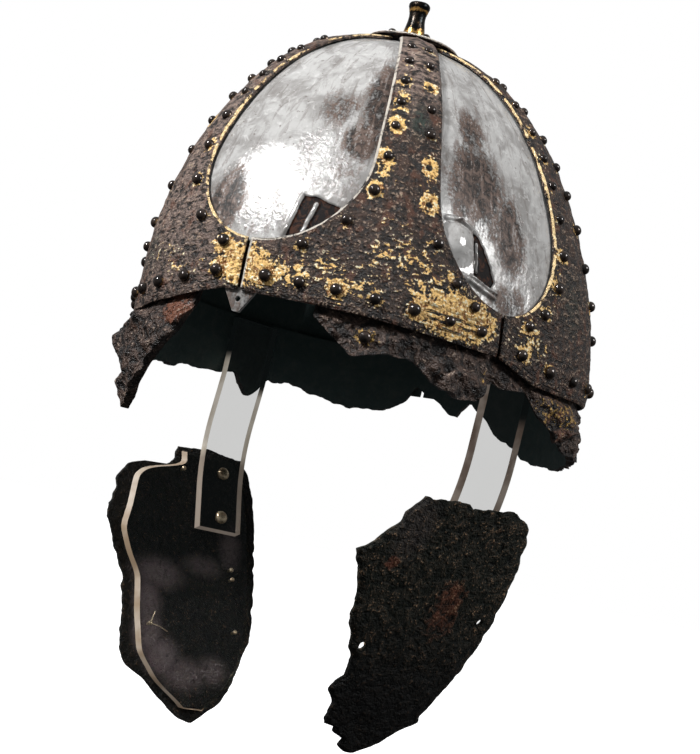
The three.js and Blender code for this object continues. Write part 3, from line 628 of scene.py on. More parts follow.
def flat_place(angle, height, centre_angle, centre_height):
    """Millimetres across and up from a place on the dome, for short distances."""
    across = (angle - centre_angle) / degrees_per_mm(centre_angle, centre_height)
    return np.stack([across, height - centre_height], axis=-1)


def segment_distance(place, start, end):
    run = end - start
    share = np.clip(((place - start) @ run) / (run @ run), 0, 1)
    return np.linalg.norm(place - start - share[..., None] * run, axis=-1)


def polygon_distance(angle, height, corners):
    """Distance to a polygon's outline in millimetres, negative inside."""
    middle = np.mean(corners, axis=0)
    place = flat_place(angle, height, *middle)
    outline = np.array([flat_place(*corner, *middle) for corner in corners])
    distance = np.full(place.shape[:-1], np.inf)
    inside = np.zeros(place.shape[:-1], bool)
    for start, end in zip(outline, np.roll(outline, -1, axis=0)):
        distance = np.minimum(distance, segment_distance(place, start, end))
        straddles = (start[1] > place[..., 1]) != (end[1] > place[..., 1])
        rise = end[1] - start[1] if end[1] != start[1] else 1e-9
        crossing = start[0] + (place[..., 1] - start[1]) * (end[0] - start[0]) / rise
        inside ^= straddles & (place[..., 0] < crossing)
    return np.where(inside, -distance, distance)


# Meshes

def finish_mesh(name, vertices, faces, materials, slot, nodes, values=None, uv=None, kinds=None):
    """A piece that rides on the frame's one body, with its values stored as point attributes."""
    mesh = bpy.data.meshes.new(name)
    mesh.from_pydata((np.asarray(vertices) * METRES).tolist(), [], faces)
    for material in materials:
        mesh.materials.append(material)
    mesh.polygons.foreach_set("material_index", kinds or [0] * len(faces))
    mesh.polygons.foreach_set("use_smooth", [True] * len(faces))
    for key, data in (values or {}).items():
        attribute = mesh.attributes.new(key, "FLOAT", "POINT")
        attribute.data.foreach_set("value", np.asarray(data, np.float32))
    if uv is not None:
        layer = mesh.uv_layers.new(name="place")
        corner = np.zeros(len(mesh.loops), np.int32)
        mesh.loops.foreach_get("vertex_index", corner)
        layer.data.foreach_set("uv", np.asarray(uv, np.float32)[corner].ravel())
    mesh.set_sharp_from_angle(angle=math.radians(SHARP_ANGLE))
    mesh.validate()
    piece = bpy.data.objects.new(name, mesh)
    bpy.context.scene.collection.objects.link(piece)
    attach(piece, "root")
    if nodes:
        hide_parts(*nodes)
    return piece


def grid_faces(rows, columns, closed=False):
    """Faces of a slab between two grids: 0 outer, 1 inner, 2 first column, 3 last column, 4 end rows."""
    count = rows * columns
    faces = []
    kinds = []
    last = columns if closed else columns - 1
    for row in range(rows - 1):
        for column in range(last):
            a = row * columns + column
            b = row * columns + (column + 1) % columns
            c = b + columns
            d = a + columns
            faces.append((a, b, c, d))
            faces.append((count + a, count + d, count + c, count + b))
            kinds += [0, 1]
    for row in range(0 if closed else rows - 1):
        for column, flip in ((0, True), (columns - 1, False)):
            a = row * columns + column
            d = a + columns
            quad = (a, d, count + d, count + a)
            faces.append(quad if flip else quad[::-1])
            kinds.append(2 if flip else 3)
    for column in range(last):
        for row, flip in ((0, False), (rows - 1, True)):
            a = row * columns + column
            b = row * columns + (column + 1) % columns
            quad = (a, count + a, count + b, b)
            faces.append(quad[::-1] if flip else quad)
            kinds.append(4)
    return faces, kinds


def faced(outer, inner):
    """A slab's five materials, when its edges look like its outer face."""
    return [outer, inner, outer, outer, outer]


def slab(name, outer, inner, materials, slot, nodes, values=None, uv=None, closed=False, both=False):
    """A closed sheet between two grids. Its values go to the outer grid, or to both."""
    rows, columns = outer.shape[:2]
    faces, kinds = grid_faces(rows, columns, closed)
    vertices = np.concatenate([outer.reshape(-1, 3), inner.reshape(-1, 3)])
    if sheet_volume(outer, inner) < 0:
        faces = [face[::-1] for face in faces]
    stored = {
        key: np.concatenate([np.ravel(data), np.ravel(data) * both]) for key, data in (values or {}).items()
    }
    places = None if uv is None else np.concatenate([uv.reshape(-1, 2), uv.reshape(-1, 2)])
    return finish_mesh(name, vertices, faces, materials, slot, nodes, stored, places, kinds)


def sheet_volume(outer, inner):
    """Positive when the rows, the columns and the way out of the sheet make a right-handed set."""
    middle = (outer.shape[0] // 2, outer.shape[1] // 2)
    along = outer[middle[0], middle[1] + 1] - outer[middle]
    up = outer[middle[0] + 1, middle[1]] - outer[middle]
    return np.dot(np.cross(along, up), outer[middle] - inner[middle])


def turned(profile, sides):
    """A solid turned about Z from rows of radius and height, closed where a radius is 0."""
    vertices = []
    rings = []
    for radius, height in profile:
        if radius == 0:
            rings.append([len(vertices)])
            vertices.append((0, 0, height))
            continue
        rings.append(list(range(len(vertices), len(vertices) + sides)))
        for side in range(sides):
            turn = 2 * math.pi * side / sides
            vertices.append((radius * math.cos(turn), radius * math.sin(turn), height))
    faces = []
    for low, high in zip(rings, rings[1:]):
        for side in range(sides):
            after = (side + 1) % sides
            if len(low) == 1:
                faces.append((low[0], high[after], high[side]))
            elif len(high) == 1:
                faces.append((low[side], low[after], high[0]))
            else:
                faces.append((low[side], low[after], high[after], high[side]))
    if len(rings[0]) > 1:
        faces.append(tuple(reversed(rings[0])))
    return np.array(vertices, float), faces


def turn_to(direction):
    """Rotation that takes +Z to a direction."""
    direction = np.asarray(direction, float) / np.linalg.norm(direction)
    helper = np.array([1.0, 0, 0]) if abs(direction[0]) < 0.9 else np.array([0, 1.0, 0])
    side = np.cross(helper, direction)
    side /= np.linalg.norm(side)
    return np.stack([side, np.cross(direction, side), direction], axis=1)


def gather(solids):
    """Several solids as one list of vertices and one of faces."""
    vertices = []
    faces = []
    start = 0
    for points, polygons in solids:
        vertices.append(points)
        faces += [tuple(start + index for index in polygon) for polygon in polygons]
        start += len(points)
    return np.concatenate(vertices), faces


# Materials

def is_socket(value):
    return isinstance(value, bpy.types.NodeSocket)


class Graph:
    """A node tree, with short names for the few kinds of node used here."""

    def __init__(self, tree):
        self.tree = tree

    def node(self, kind, inputs=None, **settings):
        """A new node with its settings, its inputs fed with values or with outputs of other nodes."""
        made = self.tree.nodes.new("ShaderNode" + kind)
        for name, value in settings.items():
            setattr(made, name, value)
        for name, value in (inputs or {}).items():
            self.feed(made.inputs[name], value)
        return made

    def feed(self, socket, value):
        if is_socket(value):
            self.tree.links.new(value, socket)
        else:
            socket.default_value = value

    def math(self, operation, first, *others):
        """One operation on two values, or on each further one in turn."""
        for other in others:
            first = self.node("Math", {0: first, 1: other}, operation=operation).outputs[0]
        return first

    def product(self, *values):
        return self.math("MULTIPLY", *values)

    def most(self, *values):
        return self.math("MAXIMUM", *values)

    def add(self, *terms):
        """Sum of (value, weight) pairs."""
        return self.math("ADD", *[self.product(value, weight) for value, weight in terms])


class Surface(Graph):
    """A material's node tree round its one shader."""

    def __init__(self, name):
        self.material = bpy.data.materials.new(name)
        self.material.use_nodes = True
        super().__init__(self.material.node_tree)
        self.shader = self.tree.nodes["Principled BSDF"]
        self.place = self.node("TexCoord").outputs["Object"]

    def finish(self, **inputs):
        """The material, with its shader's inputs set. Their names have _ in place of a space."""
        for name, value in inputs.items():
            self.feed(self.shader.inputs[name.replace("_", " ")], value)
        return self.material

    def sheet_place(self):
        """The mesh's own place map, in millimetres across and up the sheet."""
        return self.node("UVMap", uv_map="place").outputs["UV"]

    def sheet_height(self):
        return self.node("SeparateXYZ", {0: self.sheet_place()}).outputs["Y"]

    def value(self, name):
        """One of the mesh's stored values, 0 where it has none of that name."""
        return self.node("Attribute", attribute_name=name).outputs["Fac"]

    def noise(self, size, detail=4, roughness=0.6, distortion=0.0, stretch=None):
        """Noise about 0.5 with features of a size in millimetres, on the place map if it is stretched."""
        place = self.place
        if stretch:
            scale = (METRES / stretch[0], METRES / stretch[1], 1)
            place = self.node("Mapping", {"Vector": self.sheet_place(), "Scale": scale}).outputs["Vector"]
        inputs = {"Vector": place, "Scale": 1 / (size * METRES), "Detail": detail, "Roughness": roughness,
                  "Distortion": distortion}
        return self.node("TexNoise", inputs).outputs["Fac"]

    def waves(self, period, distortion):
        """Stripes about 0.5 that follow one another up the place map."""
        inputs = {"Vector": self.sheet_place(), "Scale": 2 * math.pi / (WAVE_RADIANS * period),
                  "Distortion": distortion, "Detail": 2, "Detail Scale": 1.2}
        return self.node("TexWave", inputs, bands_direction="Y").outputs["Fac"]

    def step(self, value, low, high, start=0.0, end=1.0):
        inputs = {"Value": value, "From Min": low, "From Max": high, "To Min": start, "To Max": end}
        return self.node("MapRange", inputs, interpolation_type="SMOOTHSTEP").outputs["Result"]

    def line(self, value, level, width):
        """One where a value meets a level, falling to nought a width away."""
        return self.step(self.math("ABSOLUTE", self.math("SUBTRACT", value, level), 0.0), width, width * 0.3)

    def mix(self, share, first, second):
        first, second = [value if is_socket(value) else (*value, 1) for value in (first, second)]
        inputs = {"Factor": share, MIX_FIRST: first, MIX_SECOND: second}
        return self.node("Mix", inputs, data_type="RGBA").outputs[MIX_RESULT]

    def tint(self, colour, tone, mask, strength):
        """A colour turned to a tone where a mask says, by a strength."""
        return self.mix(self.product(mask, strength), colour, tone)

    def bump(self, height, strength, distance, normal=None):
        inputs = {"Strength": strength, "Distance": distance * METRES, "Height": height}
        if normal is not None:
            inputs["Normal"] = normal
        return self.node("Bump", inputs).outputs["Normal"]


def gilt_material():
    """Dark copper patina with gold left on edges, round rivets and in patches, and punched strokes."""
    g = Surface("gilt_bands")
    tones = GILT_TONES
    fine = g.noise(1.15, 3, 0.5)
    grit = g.noise(3.2, 4, 0.55, 0.5)
    middle = g.noise(11, 4, 0.55)
    broad = g.noise(26, 3)
    drawn = g.noise(1.9, 4, 0.55, 0.5, stretch=(3.0, 0.9))
    even = g.add((fine, 0.5), (grit, 0.5))
    hole = g.value("hole")

    # Punched rows and lines along the rim
    rim = g.sheet_height()
    punched = g.step(g.value("punched"), 0.2, 0.6)
    rows = g.step(g.waves(PUNCHED_ROW, 2.0), 0.40, 0.62)
    ticks = g.step(g.add((drawn, 0.6), (grit, 0.4)), 0.42, 0.50)
    cut = g.product(rows, ticks, punched, g.step(rim, *PUNCHED_FADE))
    groove = g.most(*[g.line(rim, level, LINE_WIDTH) for level in RIM_LINES])
    groove = g.product(groove, g.most(punched, g.step(middle, 0.52, 0.62)))

    # Gold in patches, and gold and pale metal along the edges
    worn = g.add((fine, 0.5), (grit, 0.8), (drawn, 0.7), (middle, 0.5), (broad, 0.2),
                 (g.value("gilding"), 0.55), (g.value("halo"), 0.42))
    patches = g.step(worn, 1.66, 1.72)
    broken = g.add((broad, 1.5), (middle, 1.3), (grit, 0.7), (fine, 0.3))
    rimmed = g.step(g.value("edge"), TRIM_WIDTH, TRIM_WIDTH * 0.6)
    trim = g.step(g.add((g.product(g.value("trim"), rimmed), 0.8), (broken, 1.0)), 2.52, 2.64)
    pale = g.step(g.add((g.product(g.value("pale"), rimmed), 0.8), (broken, 1.0)), 2.40, 2.58)
    gold = g.product(g.most(patches, trim), g.step(hole, 0.9, 0.3))

    # Colours of the patina and of the gold, with painted glints on both
    dark = g.mix(g.step(g.add((grit, 0.6), (drawn, 0.4)), 0.40, 0.60), *tones["patina"])
    # Lighter patina, partly faded and partly painted sheen
    faded_and_sheen = g.product(g.value("faded_and_sheen"), g.step(g.add((grit, 0.5), (drawn, 0.5)), 0.40, 0.56))
    dark = g.mix(faded_and_sheen, dark, tones["faded_and_sheen"])
    dark = g.tint(dark, tones["red"], g.step(g.noise(6.5, 4, 0.6), 0.54, 0.66), 0.6)
    # Light specks where the noise is high: painted glints that stand in for highlights
    light = g.step(g.add((fine, 0.6), (drawn, 0.4)), 0.555, 0.605)
    dark = g.tint(dark, tones["glint"], light, 0.55)
    dark = g.tint(dark, tones["pit"], g.step(even, 0.47, 0.39), 0.9)
    green = g.product(g.value("verdigris"), g.step(grit, 0.42, 0.56))
    dark = g.tint(dark, tones["verdigris"], green, 0.8)
    bright = g.mix(g.step(even, 0.40, 0.56), *tones["gold"])
    bright = g.mix(light, bright, tones["gold_glint"])
    bright = g.tint(bright, tones["trim"], trim, 0.7)
    colour = g.mix(gold, dark, bright)
    colour = g.mix(pale, colour, tones["pale"])
    # Dark in the punched strokes and grooves, and painted shade in the dents that stand in for the holes of
    # lost rivets
    sunk = g.most(cut, groove, g.step(hole, 0.3, 0.8))
    colour = g.mix(sunk, colour, tones["sunk"])

    rough = g.add((fine, 0.45), (grit, 0.35), (broad, 0.15), (gold, -0.18))
    relief = g.add((fine, 1.0), (grit, 0.8), (drawn, 0.8), (middle, 0.7), (gold, 0.25), (cut, -0.5),
                   (groove, -0.6))
    return g.finish(Base_Color=colour, Metallic=g.step(gold, 0, 1, 0.2, 0.15), Roughness=rough,
                    Normal=g.bump(relief, 0.9, 1.4), Specular_IOR_Level=0.5)


def rivet_material():
    """Smooth domes, brown black and shiny, with a little gold at the foot."""
    g = Surface("rivet_heads")
    fine = g.noise(0.9, 4, 0.6)
    middle = g.noise(4, 3)
    foot = g.product(g.step(g.value("crown"), 0.32, 0.05), g.step(middle, 0.5, 0.62))
    colour = g.mix(g.step(middle, 0.35, 0.7), *RIVET_TONES["head"])
    colour = g.mix(foot, colour, RIVET_TONES["foot"])
    return g.finish(Base_Color=colour, Metallic=0.4, Roughness=g.add((fine, 0.1), (middle, 0.2)),
                    Normal=g.bump(fine, 0.2, 0.3), Specular_IOR_Level=0.8)


def silver_material():
    """Silver skin, crinkled and polished in places, under brown tarnish, with bare iron where it is torn."""
    g = Surface("silver_plates")
    tones = SILVER_TONES
    fine = g.noise(1.2, 4, 0.6)
    crinkle = g.noise(3.6, 5, 0.6, 0.9)
    cloud = g.noise(13, 5, 0.6, 0.6)
    streak = g.noise(4.2, 5, 0.6, 0.8, stretch=(1.0, 4.0))
    broad = g.noise(38, 3)
    bare = g.value("bare")
    tarnish = g.add((g.value("stain"), 1.0), (streak, 1.6), (cloud, 0.9), (crinkle, 1.2), (fine, 1.1))
    scratched = g.step(g.add((streak, 0.6), (fine, 0.4)), 0.55, 0.62, 0.97, 0.35)
    brown = g.product(g.step(tarnish, 2.66, 3.36), scratched)

    colour = g.mix(g.step(cloud, 0.36, 0.62), *tones["skin"])
    colour = g.tint(colour, tones["streak"], g.step(streak, 0.50, 0.66), 0.6)
    colour = g.tint(colour, tones["crease"], g.step(crinkle, 0.54, 0.68), 0.5)
    colour = g.tint(colour, tones["speck"], g.step(g.noise(2.0, 3, 0.5), 0.64, 0.72), 0.6)
    mottle = g.step(g.add((crinkle, 0.5), (streak, 0.5)), 0.42, 0.58)
    colour = g.mix(brown, colour, g.mix(mottle, *tones["tarnish"]))
    iron = g.mix(g.step(crinkle, 0.48, 0.64), *tones["bare"])
    colour = g.mix(g.step(bare, 0.35, 0.7), colour, iron)

    rough = g.add((crinkle, 0.12), (broad, 0.06), (fine, 0.10), (brown, 0.26), (bare, 0.45))
    creased = g.product(crinkle, g.step(g.value("creased"), 0, 1, 0.15, 1.5))
    dents = g.bump(g.add((creased, 1.3), (cloud, 0.5), (streak, 0.3)), 0.35, 1.2)
    grain = g.bump(g.add((fine, 0.5), (brown, 0.5)), 0.25, 0.4, dents)
    metallic = g.product(g.step(brown, 0, 1, 0.08, 0.05), g.step(bare, 0.7, 0.3))
    shine = g.product(g.step(bare, 0.3, 0.7, 0.38, 0.1), g.step(brown, 0, 1, 1.0, 0.4))
    return g.finish(Base_Color=colour, Metallic=metallic, Roughness=rough, Normal=grain,
                    Specular_IOR_Level=shine)


def iron_material(name, tones, shine, grain):
    """Corroded iron with rust, scraps of gilt foil, a dull haze and a darkening where the mesh says; the
    darkening is painted shade at the foot of the left cheek piece and makes the right one darker all over.
    """
    g = Surface(name)
    fine = g.noise(grain, 3, 0.5)
    middle = g.noise(3.4 * grain, 4, 0.55, 0.6)
    broad = g.noise(16, 4)
    rust = g.step(g.add((g.value("rust"), 0.62), (middle, 0.8), (broad, 0.4)), 0.90, 1.18)
    foil = g.step(g.add((g.value("foil"), 0.75), (fine, 1.0), (middle, 0.6)), 1.34, 1.42)
    colour = g.mix(g.step(middle, 0.40, 0.62), *tones["iron"])
    colour = g.mix(rust, colour, tones["rust"])
    # Bright specks where the noise is high: rust specks on the cheek pieces, and on the brow band partly
    # pale crust and partly painted highlight
    colour = g.tint(colour, tones["speck"], g.step(g.add((fine, 0.6), (middle, 0.4)), 0.575, 0.66), 0.8)
    colour = g.tint(colour, tones["darkening"], g.step(g.add((fine, 0.5), (middle, 0.5)), 0.46, 0.38), 0.9)
    # Darkening where the mesh says: painted shade at the foot of the left cheek piece, and darker all over
    # the right one
    colour = g.mix(g.value("darkening"), colour, tones["darkening"])
    colour = g.tint(colour, tones["haze"], g.value("haze"), g.step(middle, 0.1, 0.5))
    colour = g.mix(foil, colour, FOIL_TONE)
    return g.finish(Base_Color=colour, Metallic=g.step(foil, 0, 1, 0.0, 0.9),
                    Roughness=g.add((middle, 0.35), (fine, 0.45), (broad, 0.15)),
                    Normal=g.bump(g.add((fine, 1.0), (middle, 2.4)), 1.0, 1.4 * grain),
                    Specular_IOR_Level=shine)


def lining_material():
    """Dull grey iron inside the bands, the plates, the brow band and the plume holder."""
    g = Surface("inside_iron")
    middle = g.noise(5, 5, 0.65)
    colour = g.mix(g.step(middle, 0.4, 0.75), *LINING_TONES)
    return g.finish(Base_Color=colour, Roughness=g.step(middle, 0.2, 0.8, 0.75, 0.95),
                    Normal=g.bump(middle, 0.6, 0.8), Specular_IOR_Level=0.15)


def holder_material():
    """Blackened bronze with gold on its collar and foot."""
    g = Surface("plume_bronze")
    fine = g.noise(0.8, 4, 0.6)
    middle = g.noise(3.2, 4, 0.6)
    gold = g.step(g.add((g.value("gilding"), 0.7), (middle, 1.3), (fine, 0.5)), 1.1, 1.5)
    dark = g.mix(g.step(middle, 0.4, 0.7), *HOLDER_TONES["bronze"])
    colour = g.mix(gold, dark, HOLDER_TONES["gold"])
    return g.finish(Base_Color=colour, Metallic=0.9, Roughness=g.add((fine, 0.25), (middle, 0.25)),
                    Normal=g.bump(g.add((fine, 0.4), (middle, 0.6)), 0.3, 0.4))


def acrylic_material(name, tint):
    """Clear sheet with faint dust, tinted once for both of its faces, with a faint painted glow that stands
    in for its reflection.
    """
    g = Surface(name)
    dust = g.step(g.noise(2.5, 5, 0.7), 0.6, 0.8, 0.02, 0.16)
    colour = g.mix(g.noise(14, 3), (tint, tint, tint * 0.99), (tint * 1.04, tint * 1.04, tint * 1.03))
    return g.finish(Base_Color=colour, Roughness=dust, IOR=ACRYLIC_IOR, Specular_IOR_Level=0.1,
                    Transmission_Weight=1.0, Emission_Color=ACRYLIC_GLOW, Emission_Strength=ACRYLIC_PAINTED_REFLECTION)


def acrylic_edge_material(name, tones, glow):
    """Sawn edge of a sheet: frosted, with a painted glow of its own colour, painted shadow inside the helmet
    and painted shade over the cheek piece.
    """
    g = Surface(name)
    fine = g.noise(1.2, 3)
    shade = g.value("shade")
    colour = g.mix(g.step(g.noise(16, 3, 0.5), 0.35, 0.65), *tones)
    # Painted shade where the edge lies over the cheek piece, and painted shadow inside the helmet
    colour = g.mix(g.value("dull"), colour, EDGE_SHADE_OVER_IRON_TONE)
    colour = g.mix(shade, colour, SHADED_EDGE_TONE)
    # The emission is a painted glow
    return g.finish(Base_Color=colour, Emission_Color=colour, Roughness=g.step(fine, 0.3, 0.7, 0.35, 0.5),
                    Normal=g.bump(fine, 0.15, 0.2), Specular_IOR_Level=g.step(shade, 0, 1, 0.2, 0.0),
                    Emission_Strength=glow)


def steel_material():
    g = Surface("dull_steel")
    fine = g.noise(0.7, 4)
    middle = g.noise(3, 4)
    colour = g.mix(g.step(middle, 0.4, 0.65), *STEEL_TONES)
    return g.finish(Base_Color=colour, Metallic=0.75, Roughness=g.add((fine, 0.3), (middle, 0.3)),
                    Normal=g.bump(fine, 0.2, 0.2))


GILT = gilt_material()
RIVET = rivet_material()
SILVER = silver_material()
BROW_IRON = iron_material("brow_iron", BROW_TONES, shine=0.5, grain=1.4)
CHEEK_IRON = iron_material("cheek_iron", CHEEK_TONES, shine=0.12, grain=0.9)
LINING = lining_material()
HOLDER = holder_material()
STRAP_ACRYLIC = acrylic_material("strap_acrylic", tint=0.585)
SHEET_ACRYLIC = acrylic_material("sheet_acrylic", tint=0.95)
NEAR_EDGE = acrylic_edge_material("near_strap_edge", NEAR_EDGE_TONES, glow=0.45)
FAR_EDGE = acrylic_edge_material("far_strap_edge", FAR_EDGE_TONES, glow=0.5)
SHEET_EDGE = acrylic_edge_material("sheet_edge", SHEET_EDGE_TONES, glow=0.25)
STEEL = steel_material()


# Bands

def band_edge(centre, seam, sill, side, height):
    """Angle of a band's edge on one side, where side is -1 towards the seam before it and 1 after it."""
    limit = seam - side * SEAM_GAP / 2 * degrees_per_mm(seam, height)
    half_width = BAND_TOP_HALF_WIDTH + BAND_WIDENING * (BAND_TOP_HEIGHT - height)
    straight = centre + side * half_width * degrees_per_mm(centre, height)
    climb = np.clip((height - sill) / WINDOW_CORNER_HEIGHT, 0, 1)
    corner = np.sqrt(1 - (1 - climb) ** 2)
    edge = seam + (straight - seam) * corner
    edge = np.minimum(edge, limit) if side > 0 else np.maximum(edge, limit)
    return np.where(height <= sill, limit, edge)


def sides_of(place):
    """The seam and the window sill on either side of a band."""
    row = LAYOUT[place]
    before = LAYOUT[place - 1]
    turn_back = 360 if place == 0 else 0
    return [
        {"side": -1, "seam": before["seam"] - turn_back, "sill": before["sill"]},
        {"side": 1, "seam": row["seam"], "sill": row["sill"]},
    ]


def rim_bottom(angle):
    """Height of the bands' lower edge at an angle."""
    table = np.array(RIM_EDGE, float)
    return np.interp((angle - table[0, 0]) % 360 + table[0, 0], table[:, 0], table[:, 1])


def corner_heights(sill):
    """Heights that crowd towards a window's sill."""
    share = np.linspace(0, 1, CORNER_ROWS) ** 2
    return sill + WINDOW_CORNER_HEIGHT * share


def edge_rivets(row, flank):
    """Places inset from a window's edge at the listed heights."""
    upper = np.linspace(EDGE_PATH_FROM, BAND_TOP_HEIGHT, UPPER_ROWS)
    height = np.concatenate([corner_heights(flank["sill"]), upper])
    angle = band_edge(row["centre"], flank["seam"], flank["sill"], flank["side"], height)
    scale = degrees_per_mm(angle, height)
    run = np.stack([np.gradient(angle) / scale, np.gradient(height)], axis=-1)
    run /= np.linalg.norm(run, axis=-1, keepdims=True)
    inset_angle = angle - flank["side"] * run[:, 1] * RIVET_INSET * scale
    inset_height = height + flank["side"] * run[:, 0] * RIVET_INSET
    order = np.argsort(inset_height)
    listed = FRONT_RIVET_HEIGHTS if row["band"] == "band_front" else EDGE_RIVET_HEIGHTS
    wanted = [value for value in listed if value > inset_height.min()]
    lost = LOST_RIVETS.get((row["band"], flank["side"]), ())
    return [
        {"angle": float(np.interp(value, inset_height[order], inset_angle[order])), "height": value,
         "lost": value in lost}
        for value in wanted
    ]


def foot_rivets(start_seam, end_seam):
    start = start_seam + FOOT_RIVET_END
    end = end_seam - FOOT_RIVET_END
    count = round((end - start) / FOOT_RIVET_SPACING) + 1
    return [
        {"angle": float(angle), "height": float(rim_bottom(angle)) + FOOT_RIVET_HEIGHT, "lost": False}
        for angle in np.linspace(start, end, count)
    ]


def rivet_radius(height):
    return RIVET_LOW_RADIUS + (RIVET_HIGH_RADIUS - RIVET_LOW_RADIUS) * height / DOME_HEIGHT


def nearest(points, targets):
    """Distance from each point to the nearest target."""
    flat = points.reshape(-1, 3)
    best = np.full(len(flat), np.inf)
    for start in range(0, len(targets), NEAREST_BLOCK):
        block = targets[start:start + NEAREST_BLOCK]
        distance = np.linalg.norm(flat[:, None, :] - block[None, :, :], axis=-1)
        best = np.minimum(best, distance.min(axis=1))
    return best.reshape(points.shape[:-1])


def edge_values(band, surface, above_sill):
    """Distance to a band's nearer edge, and the gold and the pale metal left along it."""
    sides = {-1: nearest(surface, surface[:, 0]), 1: nearest(surface, surface[:, -1])}
    edge = np.minimum(sides[-1], sides[1])
    trim = np.zeros(edge.shape)
    pale = np.zeros(edge.shape)
    kept = TRIM_BELOW_WINDOW + (1 - TRIM_BELOW_WINDOW) * smoothstep(*TRIM_RISE, above_sill)
    for side, distance in sides.items():
        amounts = EDGE_TRIM.get((band, side), OTHER_TRIM)
        own = distance <= edge
        trim = np.where(own, amounts["gold"] * kept, trim)
        pale = np.where(own, amounts["pale"], pale)
    return {"edge": edge, "trim": trim, "pale": pale}


def rivet_values(places, surface, random):
    """Gold round each rivet and the hole where one is lost, and how far the sheet swells round them all."""
    halo, hole, swell = np.zeros((3, *surface.shape[:-1]))
    for rivet in places:
        distance = np.linalg.norm(surface - dome_surface(rivet["angle"], rivet["height"]), axis=-1)
        strength = 1.0 if rivet["lost"] else random.uniform(0.0, 1.0)
        halo = np.maximum(halo, strength * (1 - smoothstep(*HALO_REACH, distance)))
        swell = swell + SWELL * np.exp(-(distance / SWELL_REACH) ** 2)
        if rivet["lost"]:
            hole = np.maximum(hole, 1 - smoothstep(*HOLE_EDGE, distance / HOLE_RADIUS))
    return {"halo": halo, "hole": hole}, swell


def dome_rivet(rivet, random):
    """Radius, turn and seat of a rivet head on the dome."""
    radius = rivet_radius(rivet["height"]) * random.uniform(*RIVET_SIZES)
    normal = dome_normal(rivet["angle"], rivet["height"])
    seat = dome_point(rivet["angle"], rivet["height"], rivet.get("depth", 0))
    return {"radius": radius, "turn": turn_to(normal), "seat": seat + RIVET_LIFT * normal}


def join_rivets(name, heads):
    """Rivet heads as one piece."""
    shape, faces = turned(RIVET_SHAPE, RIVET_SIDES)
    solids = [(head["radius"] * shape @ head["turn"].T + head["seat"], faces) for head in heads]
    crown = np.tile(shape[:, 2], len(heads))
    finish_mesh(name, *gather(solids), [RIVET], "gilt", [], {"crown": crown})


def build_band(place, random):
    """A band's sheet, with its keel and its bevelled edges, and its rivet heads."""
    row = LAYOUT[place]
    flanks = sides_of(place)
    sills = sorted({flank["sill"] for flank in flanks})
    height = np.unique(np.concatenate([
        np.linspace(0, sills[-1], FOOT_ROWS), *[corner_heights(sill) for sill in sills],
        np.linspace(UPPER_FROM, BAND_TOP_HEIGHT, UPPER_ROWS),
    ]).round(2))
    edges = [
        band_edge(row["centre"], flank["seam"], flank["sill"], flank["side"], height) for flank in flanks
    ]
    share = np.linspace(0, 1, BAND_COLUMNS if row["band"] in DETAILED_BANDS else BAND_COLUMNS // 2)
    angle = between(*edges, share - EDGE_CROWDING * np.sin(2 * math.pi * share))
    rim = rim_bottom(angle)
    heights = height[:, None] + rim * np.clip(1 - height / FOOT_TOP, 0, 1)[:, None]
    surface = dome_surface(angle, heights)
    places = foot_rivets(*[flank["seam"] for flank in flanks])
    places = edge_rivets(row, flanks[0]) + edge_rivets(row, flanks[1]) + places
    by_rivets, swell = rivet_values(places, surface, random)
    values = {
        **edge_values(row["band"], surface, heights - sills[0]), **by_rivets,
        "gilding": spots(GILDING, angle, heights), "punched": spots(PUNCHED, angle, heights),
        "faded_and_sheen": spots(FADED_AND_SHEEN, angle, heights), "verdigris": spots(VERDIGRIS, angle, heights),
    }
    across = (angle - row["centre"]) / degrees_per_mm(row["centre"], heights)
    keel = KEEL_HEIGHT * np.exp(-np.abs(across / KEEL_WIDTH))
    keel = keel * smoothstep(KEEL_START, KEEL_START + KEEL_FADE, heights)
    at_edge = 1 - smoothstep(0, EDGE_BEVEL_WIDTH, values["edge"])
    at_rim = 1 - smoothstep(0, RIM_BEVEL_WIDTH, heights - rim)
    relief = keel + swell - BORDER_BEVEL * (at_edge + at_rim) - HOLE_DEPTH * values["hole"]
    relief += ripples("band", surface)
    slab(row["band"] + "_sheet", dome_point(angle, heights, -relief),
         dome_point(angle, heights, BAND_THICKNESS), faced(GILT, LINING), "gilt", [row["band"]], values,
         np.stack([across, heights - rim], axis=-1))
    heads = [dome_rivet(rivet, random) for rivet in places if not rivet["lost"]]
    join_rivets(row["band"] + "_rivets", heads)


# Plates

def plate_edge(row, centre, side, height):
    """Angle of a plate's edge, lapped behind the band that owns the window's edge on that side."""
    lapped = np.maximum(height, PLATE_LAP_HEIGHT + WINDOW_CORNER_HEIGHT / 2)
    window = band_edge(centre, row["seam"], row["sill"], -side, lapped)
    full = window + side * PLATE_LAP * degrees_per_mm(window, lapped)
    reach = row["seam"] + (full - row["seam"]) * np.clip(height / PLATE_LAP_HEIGHT, 0, 1)
    limit = centre + (row["seam"] - centre) * PLATE_CENTRE_MARGIN
    reach = np.minimum(reach, limit) if side > 0 else np.maximum(reach, limit)
    half_width = np.interp(height, [TONGUE_TIP_HEIGHT, PLATE_FOOT_HEIGHT],
                           [TONGUE_TIP_HALF_WIDTH, PLATE_FOOT_HALF_WIDTH])
    foot = row["seam"] + side * half_width * degrees_per_mm(row["seam"], height)
    return np.where(height <= PLATE_FOOT_HEIGHT, foot, reach)


